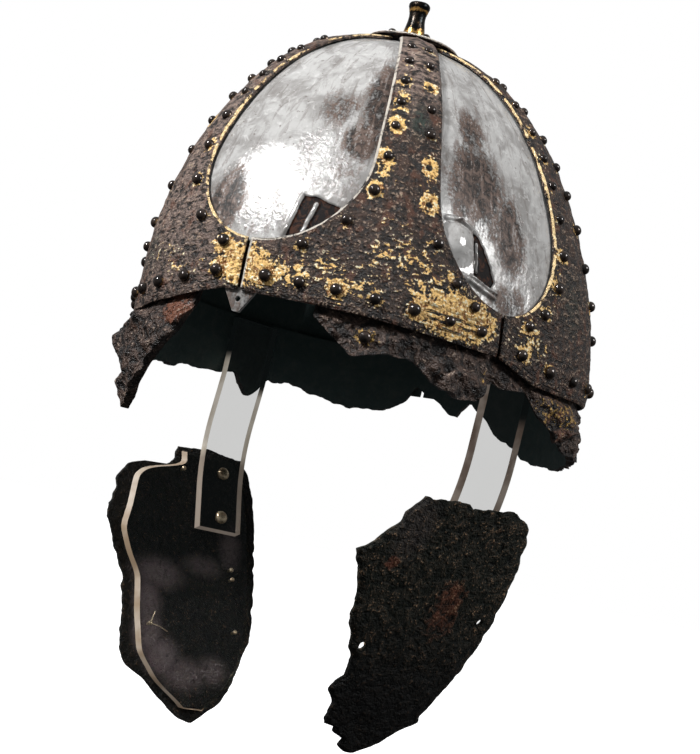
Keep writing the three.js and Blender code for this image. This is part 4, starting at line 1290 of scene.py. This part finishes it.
def torn_skin(angle, heights, surface):
    """How far the silver skin lifts, and where it is gone, at the tears, the flap and the curled strips."""
    bare = np.zeros(angle.shape)
    lift = ripples("plate", surface)
    for corners in TEARS:
        gap = polygon_distance(angle, heights, corners) + ripples("tear_edge", surface)
        inside = 1 - smoothstep(*TEAR_EDGE, gap)
        bare = np.maximum(bare, inside)
        lift = lift - TEAR_DEPTH * inside
    reach = np.hypot((angle - FLAP["angle"]) / FLAP["across"], (heights - FLAP["height"]) / FLAP["up"])
    lift = lift + FLAP["lift"] * (1 - smoothstep(FLAP["core"], 1.0, reach)) * (1 - bare)
    uneven = np.clip(STRIP_EVEN + ripples("strip", surface), 0, 1)
    for strip in STRIPS:
        middle = np.mean([strip["from"], strip["to"]], axis=0)
        ends = [flat_place(*strip[key], *middle) for key in ("from", "to")]
        gap = segment_distance(flat_place(angle, heights, *middle), *ends)
        raised = uneven * (1 - smoothstep(*STRIP_EDGE, gap / strip["width"]))
        lift = lift + strip["lift"] * raised
        bare = bare * (1 - raised)
    return lift, bare


def build_plate(place):
    row = LAYOUT[place]
    after = LAYOUT[(place + 1) % len(LAYOUT)]
    after_centre = after["centre"] + (360 if after["centre"] < row["centre"] else 0)
    detailed = row["plate"] in DETAILED_PLATES
    tongued = row["plate"] == TONGUED_PLATE
    columns = PLATE_COLUMNS if detailed else PLATE_COLUMNS // 2
    height = np.unique(np.concatenate([
        np.linspace(TONGUE_TIP_HEIGHT if tongued else PLATE_FOOT_HEIGHT, TORN_FROM, PLATE_FOOT_ROWS),
        np.linspace(TORN_FROM, TORN_TO, PLATE_TORN_ROWS if detailed else PLATE_FOOT_ROWS),
        np.linspace(TORN_TO, PLATE_TOP_HEIGHT, PLATE_UPPER_ROWS),
    ]))
    start = plate_edge(row, row["centre"], -1, height)
    end = plate_edge(row, after_centre, 1, height)
    angle = between(start, end, np.linspace(0, 1, columns))
    heights = widen(height, columns)
    lift, bare = torn_skin(angle, heights, dome_surface(angle, heights))
    beside = np.abs(angle - row["seam"]) / degrees_per_mm(row["seam"], 0)
    above = smoothstep(*BARE_ABOVE, heights) * smoothstep(*BARE_BELOW_SILL, heights - row["sill"])
    values = {
        "stain": spots(STAINS, angle, heights), "creased": spots(CREASED, angle, heights),
        "bare": np.maximum(bare, (1 - smoothstep(*BARE_BESIDE, beside)) * above),
    }
    spine = dome_surface(row["seam"], height)
    climb = np.concatenate([[0], np.cumsum(np.linalg.norm(np.diff(spine, axis=0), axis=1))])
    across = (angle - row["seam"]) / degrees_per_mm(row["seam"], TORN_TO)
    sheet = slab(row["plate"] + "_sheet", dome_point(angle, heights, PLATE_DEPTH - lift),
                 dome_point(angle, heights, PLATE_DEPTH + PLATE_THICKNESS), faced(SILVER, LINING),
                 "silver", [row["plate"]], values, np.stack([across, widen(climb, columns)], axis=-1))
    if tongued:
        spot = dome_surface(row["seam"], TONGUE_HOLE_HEIGHT)
        normal = dome_normal(row["seam"], TONGUE_HOLE_HEIGHT)
        cut_holes(sheet, [hole_cutter(spot, normal, TONGUE_HOLE_RADIUS)])


# Brow band

def build_brow_band(random):
    """What is left of the brow band, thick with crust where it hangs free, and its one rivet head."""
    table = np.array(BROW_EDGE, float)
    angle = np.arange(table[0, 0], table[-1, 0], BROW_COLUMN_STEP)
    bottom = np.interp(angle, *table.T) + ripples("brow_edge", on_a_line(angle * BROW_MM_PER_DEGREE))
    share = np.linspace(0, 1, BROW_ROWS)
    heights = BROW_TOP_HEIGHT + (bottom - BROW_TOP_HEIGHT)[None, :] * share[:, None]
    angles = np.repeat(angle[None, :], BROW_ROWS, axis=0)
    surface = dome_surface(angles, heights)
    flare = BROW_FLARE * np.clip(-heights / BROW_FLARE_DROP, 0, 1)
    free = smoothstep(0, BROW_FREE_DROP, heights - rim_bottom(angles))
    bulge = spots(BROW_BULGES, angles, heights) * free
    crust = np.maximum(BROW_CRUST + ripples("brow_crust", surface), BROW_CRUST_LEAST)
    crust = free * crust + bulge + ripples("brow_grain", surface)
    thin = BROW_EDGE_THINNING * smoothstep(BROW_EDGE_FROM, 1.0, share)[:, None] * free
    values = {"rust": spots(RUST, angles, heights), "foil": spots(FOIL, angles, heights)}
    outer_depth = BROW_DEPTH - flare - crust + thin
    inner_depth = BROW_DEPTH + BROW_THICKNESS - flare - thin + free * ripples("brow_inside", surface) - bulge
    miss = np.hypot(angles - BROW_RIVET["angle"], heights - BROW_RIVET["height"])
    seat = dict(BROW_RIVET, depth=outer_depth.flat[np.argmin(miss)])
    join_rivets("brow_band_rivet", [dome_rivet(seat, random)])
    slab("brow_band_remains", dome_point(angles, heights, outer_depth),
         dome_point(angles, heights, inner_depth), faced(BROW_IRON, LINING), "iron", ["brow_band"], values)


# Apex disc and plume holder

def disc_top(share):
    """Height of the disc's crowned top at a share of its radius."""
    return DISC_SEAT + DISC_THICKNESS + DISC_CROWN * (1 - share ** 2)


def build_disc(random):
    """The disc's two faces as one ring-shaped sheet that closes at the middle, and its rivets."""
    share = np.linspace(0, 1, DISC_RINGS)
    turn = np.linspace(0, 2 * math.pi, DISC_SIDES, endpoint=False)
    bent = np.clip(np.cos(turn - math.radians(DISC_DROOP_TURN)), 0, 1) ** DISC_DROOP_NARROW
    wobble = 1 + DISC_DROOP_REACH * bent
    for row in DISC_WOBBLE:
        wobble = wobble + row["amount"] * np.sin(row["waves"] * turn + row["phase"])
    radius = (DISC_HOLE + (1 - DISC_HOLE) * share)[:, None] * DISC_RADIUS * wobble[None, :]
    x = APEX_SHIFT[0] + radius * np.cos(turn)
    y = APEX_SHIFT[1] + radius * np.sin(turn)
    upper = np.stack([x, y, widen(disc_top(share), DISC_SIDES)], axis=-1)
    under = np.stack([x, y, np.full_like(x, DISC_SEAT)], axis=-1)
    edge = widen((1 - share) * DISC_RADIUS, DISC_SIDES)
    groove = DISC_GROOVE["depth"] * np.exp(-((edge - DISC_GROOVE["inset"]) / DISC_GROOVE["width"]) ** 2)
    upper[..., 2] -= DISC_BEVEL * (1 - smoothstep(0, DISC_BEVEL_WIDTH, edge)) + groove
    upper[..., 2] += ripples("disc", upper)
    droop = DISC_DROOP * bent[None, :] * smoothstep(DISC_DROOP_FROM, 1, share)[:, None]
    upper[..., 2] -= droop
    under[..., 2] -= droop
    values = {"edge": edge, **{key: np.full(edge.shape, amount) for key, amount in DISC_VALUES.items()}}
    slab("apex_disc_sheet", upper, under, [GILT] * 5, "gilt", ["apex_disc"], values,
         np.stack([radius + 2 * DISC_RADIUS, radius], axis=-1), closed=True)
    heads = []
    for angle in np.radians(DISC_RIVETS):
        ring = np.array([math.sin(angle), -math.cos(angle), 0]) * DISC_RIVET_RING
        seat = ring + np.array([*APEX_SHIFT, disc_top(DISC_RIVET_RING / DISC_RADIUS)])
        size = RIVET_HIGH_RADIUS * random.uniform(*DISC_RIVET_SIZES)
        heads.append({"radius": size, "turn": np.eye(3), "seat": seat})
    join_rivets("apex_disc_rivets", heads)


def build_plume_holder():
    """A turned tube, lathed as one ring so that it stays open at its top."""
    outside = np.array(PLUME_PROFILE)
    fine = np.linspace(0, len(outside) - 1, PLUME_RINGS)
    radius, level = [np.interp(fine, np.arange(len(outside)), column) for column in outside.T]
    turn = np.linspace(0, 2 * math.pi, PLUME_SIDES, endpoint=False)
    ring = np.stack([np.cos(turn), np.sin(turn)], axis=-1)
    outer = np.zeros((PLUME_RINGS, PLUME_SIDES, 3))
    inner = np.zeros_like(outer)
    outer[..., :2] = radius[:, None, None] * ring[None] + np.array(APEX_SHIFT)
    inner[..., :2] = PLUME_BORE_RADIUS * ring[None] + np.array(APEX_SHIFT)
    outer[..., 2] = inner[..., 2] = (disc_top(0) + CLEARANCE + level)[:, None]
    outer += ripples("plume", outer)[..., None]
    collar = PLUME_COLLAR_GOLD * np.exp(-((level - PLUME_COLLAR) / PLUME_COLLAR_WIDTH) ** 2)
    foot = PLUME_FOOT_GOLD * (1 - smoothstep(*PLUME_FOOT, level))
    slab("plume_holder_tube", outer, inner, faced(HOLDER, LINING), "gilt", ["plume_holder"],
         {"gilding": widen(np.maximum(collar, foot), PLUME_SIDES)}, closed=True)


# Cheek pieces, acrylic and screws

def cheek_point(side, y, z, depth):
    """Point of a cheek piece, sunk towards the face by a depth. Side is +1 left, -1 right."""
    y, z, depth = np.broadcast_arrays(np.asarray(y, float), np.asarray(z, float), np.asarray(depth, float))
    lean = CHEEK_LEAN * (CHEEK_TOP_Z - z)
    bulge = CHEEK_BULGE * (y / CHEEK_HALF_WIDTH) ** 2
    return np.stack([side * (CHEEK_TOP_X - lean - bulge - depth), y, z], axis=-1)


def cheek_normal(side):
    normal = np.array([side, 0, -CHEEK_LEAN], float)
    return normal / np.linalg.norm(normal)


def outline_at(stations, z):
    """Front and back edges along Y at each height."""
    table = np.array(stations, float)[::-1]
    return np.interp(z, table[:, 0], table[:, 1]), np.interp(z, table[:, 0], table[:, 2])


def cheek_spots(table, side, y, z):
    """The strongest of a table's soft oval spots at each place of a cheek piece."""
    best = np.zeros(y.shape)
    for row in table:
        if row.side == side:
            reach = np.hypot((y - row.y) / row.across, (z - row.z) / row.up)
            best = np.maximum(best, row.amount * (1 - smoothstep(CHEEK_SPOT_CORE, SPOT_REACH, reach)))
    return best


def cut_holes(piece, cutters):
    """Cuts round holes through a piece and leaves no modifier behind."""
    for cutter in cutters:
        modifier = piece.modifiers.new("hole", "BOOLEAN")
        modifier.object = cutter
        modifier.solver = "EXACT"
    shown = piece.evaluated_get(bpy.context.evaluated_depsgraph_get())
    mesh = bpy.data.meshes.new_from_object(shown)
    piece.modifiers.clear()
    piece.data = mesh
    for cutter in cutters:
        bpy.data.objects.remove(cutter)


def hole_cutter(place, direction, radius):
    profile = [(0, -HOLE_REACH), (radius, -HOLE_REACH), (radius * HOLE_WAIST, 0), (radius, HOLE_REACH),
               (0, HOLE_REACH)]
    points, faces = turned(profile, HOLE_SIDES)
    points = points @ turn_to(direction).T + place
    mesh = bpy.data.meshes.new("cutter")
    mesh.from_pydata((points * METRES).tolist(), [], faces)
    cutter = bpy.data.objects.new("cutter", mesh)
    bpy.context.scene.collection.objects.link(cutter)
    return cutter


def build_cheek_piece(cheek):
    """A cheek piece's plate with its crust, its ragged outline and its holes."""
    side = cheek["side"]
    front_edge = np.array(cheek["front"], float)[::-1]
    back_edge = np.array(cheek["back"], float)[::-1]
    top = front_edge[-1, 0]
    bottom = front_edge[0, 0]
    z = np.linspace(top, bottom, CHEEK_ROWS)
    front = np.interp(z, *front_edge.T) + ripples("cheek_front", on_a_line(z), side)
    back = np.interp(z, *back_edge.T) + ripples("cheek_back", on_a_line(z), side)
    ys = between(front, back, np.linspace(0, 1, CHEEK_COLUMNS))
    zs = widen(z, CHEEK_COLUMNS)
    zs = zs + smoothstep(CHEEK_TOP_FADE, 0, top - zs) * ripples("cheek_top", on_a_line(ys), side)
    flat = cheek_point(side, ys, zs, 0)
    crust = ripples("cheek_crust", flat, side) + ripples("cheek_grain", flat)
    from_sides = np.minimum(ys - front[:, None], back[:, None] - ys)
    from_ends = np.minimum(top - zs, zs - bottom) + CHEEK_END_MARGIN
    thin = CHEEK_EDGE_THINNING * (1 - smoothstep(0, CHEEK_EDGE_WIDTH, np.minimum(from_sides, from_ends)))
    # Painted shade towards the foot of the left cheek piece; the right one is darker all over
    darkening = LEFT_FOOT_SHADE * smoothstep(FOOT_SHADE_FROM, FOOT_SHADE_TO, zs) if side > 0 else np.full(zs.shape, RIGHT_DARKENING)
    values = {
        "rust": cheek_spots(CHEEK_RUST, side, ys, zs), "haze": cheek_spots(CHEEK_HAZE, side, ys, zs),
        "darkening": darkening,
    }
    node = "cheek_piece_" + cheek["label"]
    piece = slab(node + "_plate", cheek_point(side, ys, zs, thin - crust),
                 cheek_point(side, ys, zs, CHEEK_THICKNESS), [CHEEK_IRON] * 5, "iron", [node], values,
                 both=True)
    normal = cheek_normal(side)
    cutters = [hole_cutter(cheek_point(side, y, z, 0), normal, radius) for y, z, radius in cheek["holes"]]
    if cutters:
        cut_holes(piece, cutters)


def smoothed(line):
    """A line of numbers averaged over its neighbours."""
    weights = np.hanning(BACKING_SMOOTHING)
    return np.convolve(np.pad(line, BACKING_SMOOTHING // 2, "edge"), weights / weights.sum(), "valid")


def build_backing(cheek):
    """The clear sheet behind a cheek piece, a little inside its outline."""
    side = cheek["side"]
    stations = cheek["stations"]
    z = np.linspace(stations[0][0] - BACKING_INSET_TOP, stations[-1][0] + BACKING_INSET_BOTTOM, CHEEK_ROWS)
    front, back = outline_at(stations, z)
    front = smoothed(front) + BACKING_INSET_FRONT
    back = np.maximum(smoothed(back) - BACKING_INSET_BACK, front + BACKING_LEAST_WIDTH)
    share = np.linspace(0, 1, BACKING_COLUMNS)
    ys = between(front, back, share)
    zs = widen(z, BACKING_COLUMNS)
    room = np.clip((back - front) / BACKING_INSET_FRONT - BACKING_CHAMFER_FROM, 0, 1)
    chamfered = ys + BACKING_CHAMFER * (1 - share) * room[:, None]
    back_edge = SHEET_ACRYLIC if side > 0 else CHEEK_IRON
    node = "backing_sheet_" + cheek["label"]
    slab(node + "_acrylic", cheek_point(side, ys, zs, BACKING_DEPTH),
         cheek_point(side, chamfered, zs, BACKING_DEPTH + BACKING_THICKNESS),
         [SHEET_ACRYLIC, SHEET_ACRYLIC, SHEET_EDGE, back_edge, SHEET_EDGE], "acrylic", [node])


def strap_middle(cheek, z):
    swing = np.clip((STRAP_BEND_Z - z) / (STRAP_BEND_Z - STRAP_BOTTOM_Z), 0, 1)
    return cheek["top_y"] + (cheek["foot_y"] - cheek["top_y"]) * swing


def strap_path(cheek):
    """Outer face of a strap as X and Z: down the brow band, out to the knee, down the backing sheet."""
    def edges(z):
        return strap_middle(cheek, z) + np.array([-1, 1]) * STRAP_WIDTH / 2

    wall_depth = BROW_DEPTH + BROW_THICKNESS
    angle = 90 + np.degrees(np.arcsin(edges(STRAP_TOP_Z) / (RIM_RADIUS - wall_depth)))
    wall = dome_point(angle, STRAP_TOP_Z, wall_depth)[:, 0].min() - LAYER_GAP
    back = BACKING_DEPTH + BACKING_THICKNESS
    knee = cheek_point(1, edges(STRAP_KNEE_Z), STRAP_KNEE_Z, back)[:, 0].min() - CLEARANCE
    foot = cheek_point(1, edges(STRAP_BOTTOM_Z), STRAP_BOTTOM_Z, back)[:, 0].min() - CLEARANCE
    return np.array([
        (wall, STRAP_TOP_Z), (wall, STRAP_BEND_Z), (knee, STRAP_KNEE_Z), (foot, STRAP_BOTTOM_Z),
    ])


def rounded(path, rounds):
    """A path with its corners cut again and again, which bends it smoothly."""
    for _ in range(rounds):
        early = path[:-1] * 0.75 + path[1:] * 0.25
        late = path[:-1] * 0.25 + path[1:] * 0.75
        path = np.concatenate([path[:1], np.stack([early, late], axis=1).reshape(-1, 2), path[-1:]])
    return path


def build_strap(cheek):
    """A bent strap, its edges with painted shadow inside the helmet and painted shade over the cheek piece.
    """
    path = rounded(strap_path(cheek), STRAP_ROUNDS)
    run = np.gradient(path, axis=0)
    run /= np.linalg.norm(run, axis=1, keepdims=True)
    back = path + np.stack([run[:, 1], -run[:, 0]], axis=-1) * STRAP_THICKNESS * STRAP_SQUARE
    y = strap_middle(cheek, path[:, 1])[:, None] + np.linspace(-0.5, 0.5, STRAP_COLUMNS) * STRAP_WIDTH
    grids = []
    for line in (path, back):
        x = cheek["side"] * widen(line[:, 0], STRAP_COLUMNS)
        grids.append(np.stack([x, y, widen(line[:, 1], STRAP_COLUMNS)], axis=-1))
    level = grids[0][..., 2]
    shade_from = np.full(level.shape, cheek["shade_from_z"][1], float)
    shade_from[:, 0] = cheek["shade_from_z"][0]
    values = {
        # Painted shadow inside the helmet, and painted shade over the cheek piece
        "shade": smoothstep(-STRAP_FADE, 0, level - shade_from),
        "dull": STRAP_IRON_SHADE * smoothstep(STRAP_IRON_SHADE_Z, STRAP_IRON_SHADE_Z - STRAP_FADE, level),
    }
    edge = NEAR_EDGE if cheek["side"] > 0 else FAR_EDGE
    node = "strap_" + cheek["label"]
    slab(node + "_acrylic", *grids, [STRAP_ACRYLIC, STRAP_ACRYLIC, edge, edge, edge], "acrylic", [node],
         values, both=True)


def build_screws(cheek):
    path = strap_path(cheek)
    inward = -cheek_normal(cheek["side"])
    for label, z in SCREW_HEIGHTS.items():
        share = (z - STRAP_KNEE_Z) / (STRAP_BOTTOM_Z - STRAP_KNEE_Z)
        x = path[2, 0] + (path[3, 0] - path[2, 0]) * share - STRAP_THICKNESS
        seat = np.array([cheek["side"] * x, float(strap_middle(cheek, z)), z]) + CLEARANCE * inward
        points, faces = turned(SCREW_PROFILE, SCREW_SIDES)
        node = "screw_%s_%s" % (cheek["label"], label)
        finish_mesh(node + "_head", points @ turn_to(inward).T + seat, faces, [STEEL], "steel", [node])


def tube(path, radius, sides):
    """A round wire along a path of points, closed at both ends."""
    run = np.gradient(path, axis=0)
    vertices = []
    for point, direction in zip(path, run):
        turn = turn_to(direction)
        for side in range(sides):
            angle = 2 * math.pi * side / sides
            vertices.append(point + turn @ np.array([radius * math.cos(angle), radius * math.sin(angle), 0]))
    faces = [tuple(reversed(range(sides))), tuple(range(len(vertices) - sides, len(vertices)))]
    for ring in range(len(path) - 1):
        for side in range(sides):
            low = ring * sides + side
            after = ring * sides + (side + 1) % sides
            faces.append((low, after, after + sides, low + sides))
    return np.array(vertices), faces


def build_pins():
    """Pin heads and wire ends left in the inner face of the right cheek piece, on its acrylic sheet."""
    turn = turn_to(-cheek_normal(-1))
    sheet_face = BACKING_DEPTH + BACKING_THICKNESS
    points, faces = turned(PIN_PROFILE, PIN_SIDES)
    solids = [(points @ turn.T + cheek_point(-1, y, z, sheet_face), faces) for y, z in RIGHT_PINS]
    for wire in PIN_WIRES:
        path = np.array([cheek_point(-1, y, z, sheet_face + lift) for y, z, lift in wire])
        solids.append(tube(path, WIRE_RADIUS, WIRE_SIDES))
    finish_mesh("cheek_piece_right_pins", *gather(solids), [STEEL], "steel", [])


# Stage

def stand(name, data, turn, place):
    """A camera or a light at a place, turned by a matrix whose columns are its axes."""
    matrix = np.eye(4)
    matrix[:3, :3] = turn
    matrix[:3, 3] = np.array(place) * METRES
    thing = bpy.data.objects.new(name, data)
    bpy.context.scene.collection.objects.link(thing)
    thing.matrix_world = Matrix(matrix.tolist())
    return thing


def place_camera():
    azimuth, elevation, roll = np.radians([CAMERA_AZIMUTH, CAMERA_ELEVATION, CAMERA_ROLL])
    flat = math.cos(elevation)
    back = np.array([math.sin(azimuth) * flat, -math.cos(azimuth) * flat, math.sin(elevation)])
    level = np.cross(-back, [0, 0, 1])
    level /= np.linalg.norm(level)
    upright = np.cross(level, -back)
    right = math.cos(roll) * level + math.sin(roll) * upright
    up = -math.sin(roll) * level + math.cos(roll) * upright
    lens = bpy.data.cameras.new("camera")
    lens.sensor_fit = "HORIZONTAL"
    lens.sensor_width = SENSOR_WIDTH
    lens.lens = FOCAL_PIXELS * SENSOR_WIDTH / PHOTO_WIDTH
    lens.clip_start = CLIP_START * METRES
    bpy.context.scene.camera = stand("camera", lens, np.stack([right, up, back], axis=1), CAMERA_EYE)


def area_light(name, row):
    """An oval soft light that faces its target, with its width and height, and its power in watts."""
    data = bpy.data.lights.new(name, "AREA")
    data.shape = "ELLIPSE"
    data.size = row["size"][0] * METRES
    data.size_y = row["size"][1] * METRES
    data.energy = row["power"]
    stand(name, data, turn_to(np.subtract(row["place"], row["target"])), row["place"])


def build_floor():
    """A pale floor that only the camera sees."""
    half = FLOOR_SIZE / 2 * METRES
    level = FLOOR_Z * METRES
    corners = [(-half, -half, level), (half, -half, level), (half, half, level), (-half, half, level)]
    mesh = bpy.data.meshes.new("floor")
    mesh.from_pydata(corners, [], [(0, 1, 2, 3)])
    paint = Surface("pale_floor")
    mesh.materials.append(paint.finish(Base_Color=FLOOR_COLOUR, Emission_Color=WHITE, Emission_Strength=1.0))
    floor = bpy.data.objects.new("floor", mesh)
    bpy.context.scene.collection.objects.link(floor)
    floor.visible_diffuse = False
    floor.visible_glossy = False
    floor.visible_transmission = False


def build_world():
    """White to the camera, also through the acrylic, and a soft sky, brighter above, for everything else."""
    world = bpy.data.worlds.new("studio")
    bpy.context.scene.world = world
    world.use_nodes = True
    world.node_tree.nodes.clear()
    g = Graph(world.node_tree)
    up = g.node("SeparateXYZ", {0: g.node("TexCoord").outputs["Generated"]}).outputs["Z"]
    grade = {"Value": up, "From Min": SKY_FROM, "From Max": SKY_TO, "To Min": SKY_LOW, "To Max": SKY_HIGH}
    strength = g.node("MapRange", grade).outputs["Result"]
    ray = g.node("LightPath").outputs
    bounces = g.math("ADD", ray["Diffuse Depth"], ray["Glossy Depth"])
    through = g.product(ray["Is Transmission Ray"], g.math("LESS_THAN", bounces, 0.5))
    sky = g.node("Background", {"Color": WHITE, "Strength": strength}).outputs[0]
    white = g.node("Background", {"Color": WHITE}).outputs[0]
    choice = g.node("MixShader", {0: g.most(ray["Is Camera Ray"], through), 1: sky, 2: white}).outputs[0]
    g.node("OutputWorld", {"Surface": choice})


def main():
    random = np.random.default_rng(RANDOM_SEED)
    place_camera()
    build_world()
    build_floor()
    area_light("key", KEY_LIGHT)
    area_light("side", SIDE_LIGHT)
    for place in range(len(LAYOUT)):
        build_band(place, random)
        build_plate(place)
    build_brow_band(random)
    build_disc(random)
    build_plume_holder()
    for cheek in CHEEKS:
        build_cheek_piece(cheek)
        build_backing(cheek)
        build_strap(cheek)
        build_screws(cheek)
    build_pins()
    bpy.context.scene.view_settings.view_transform = "Standard"


main()
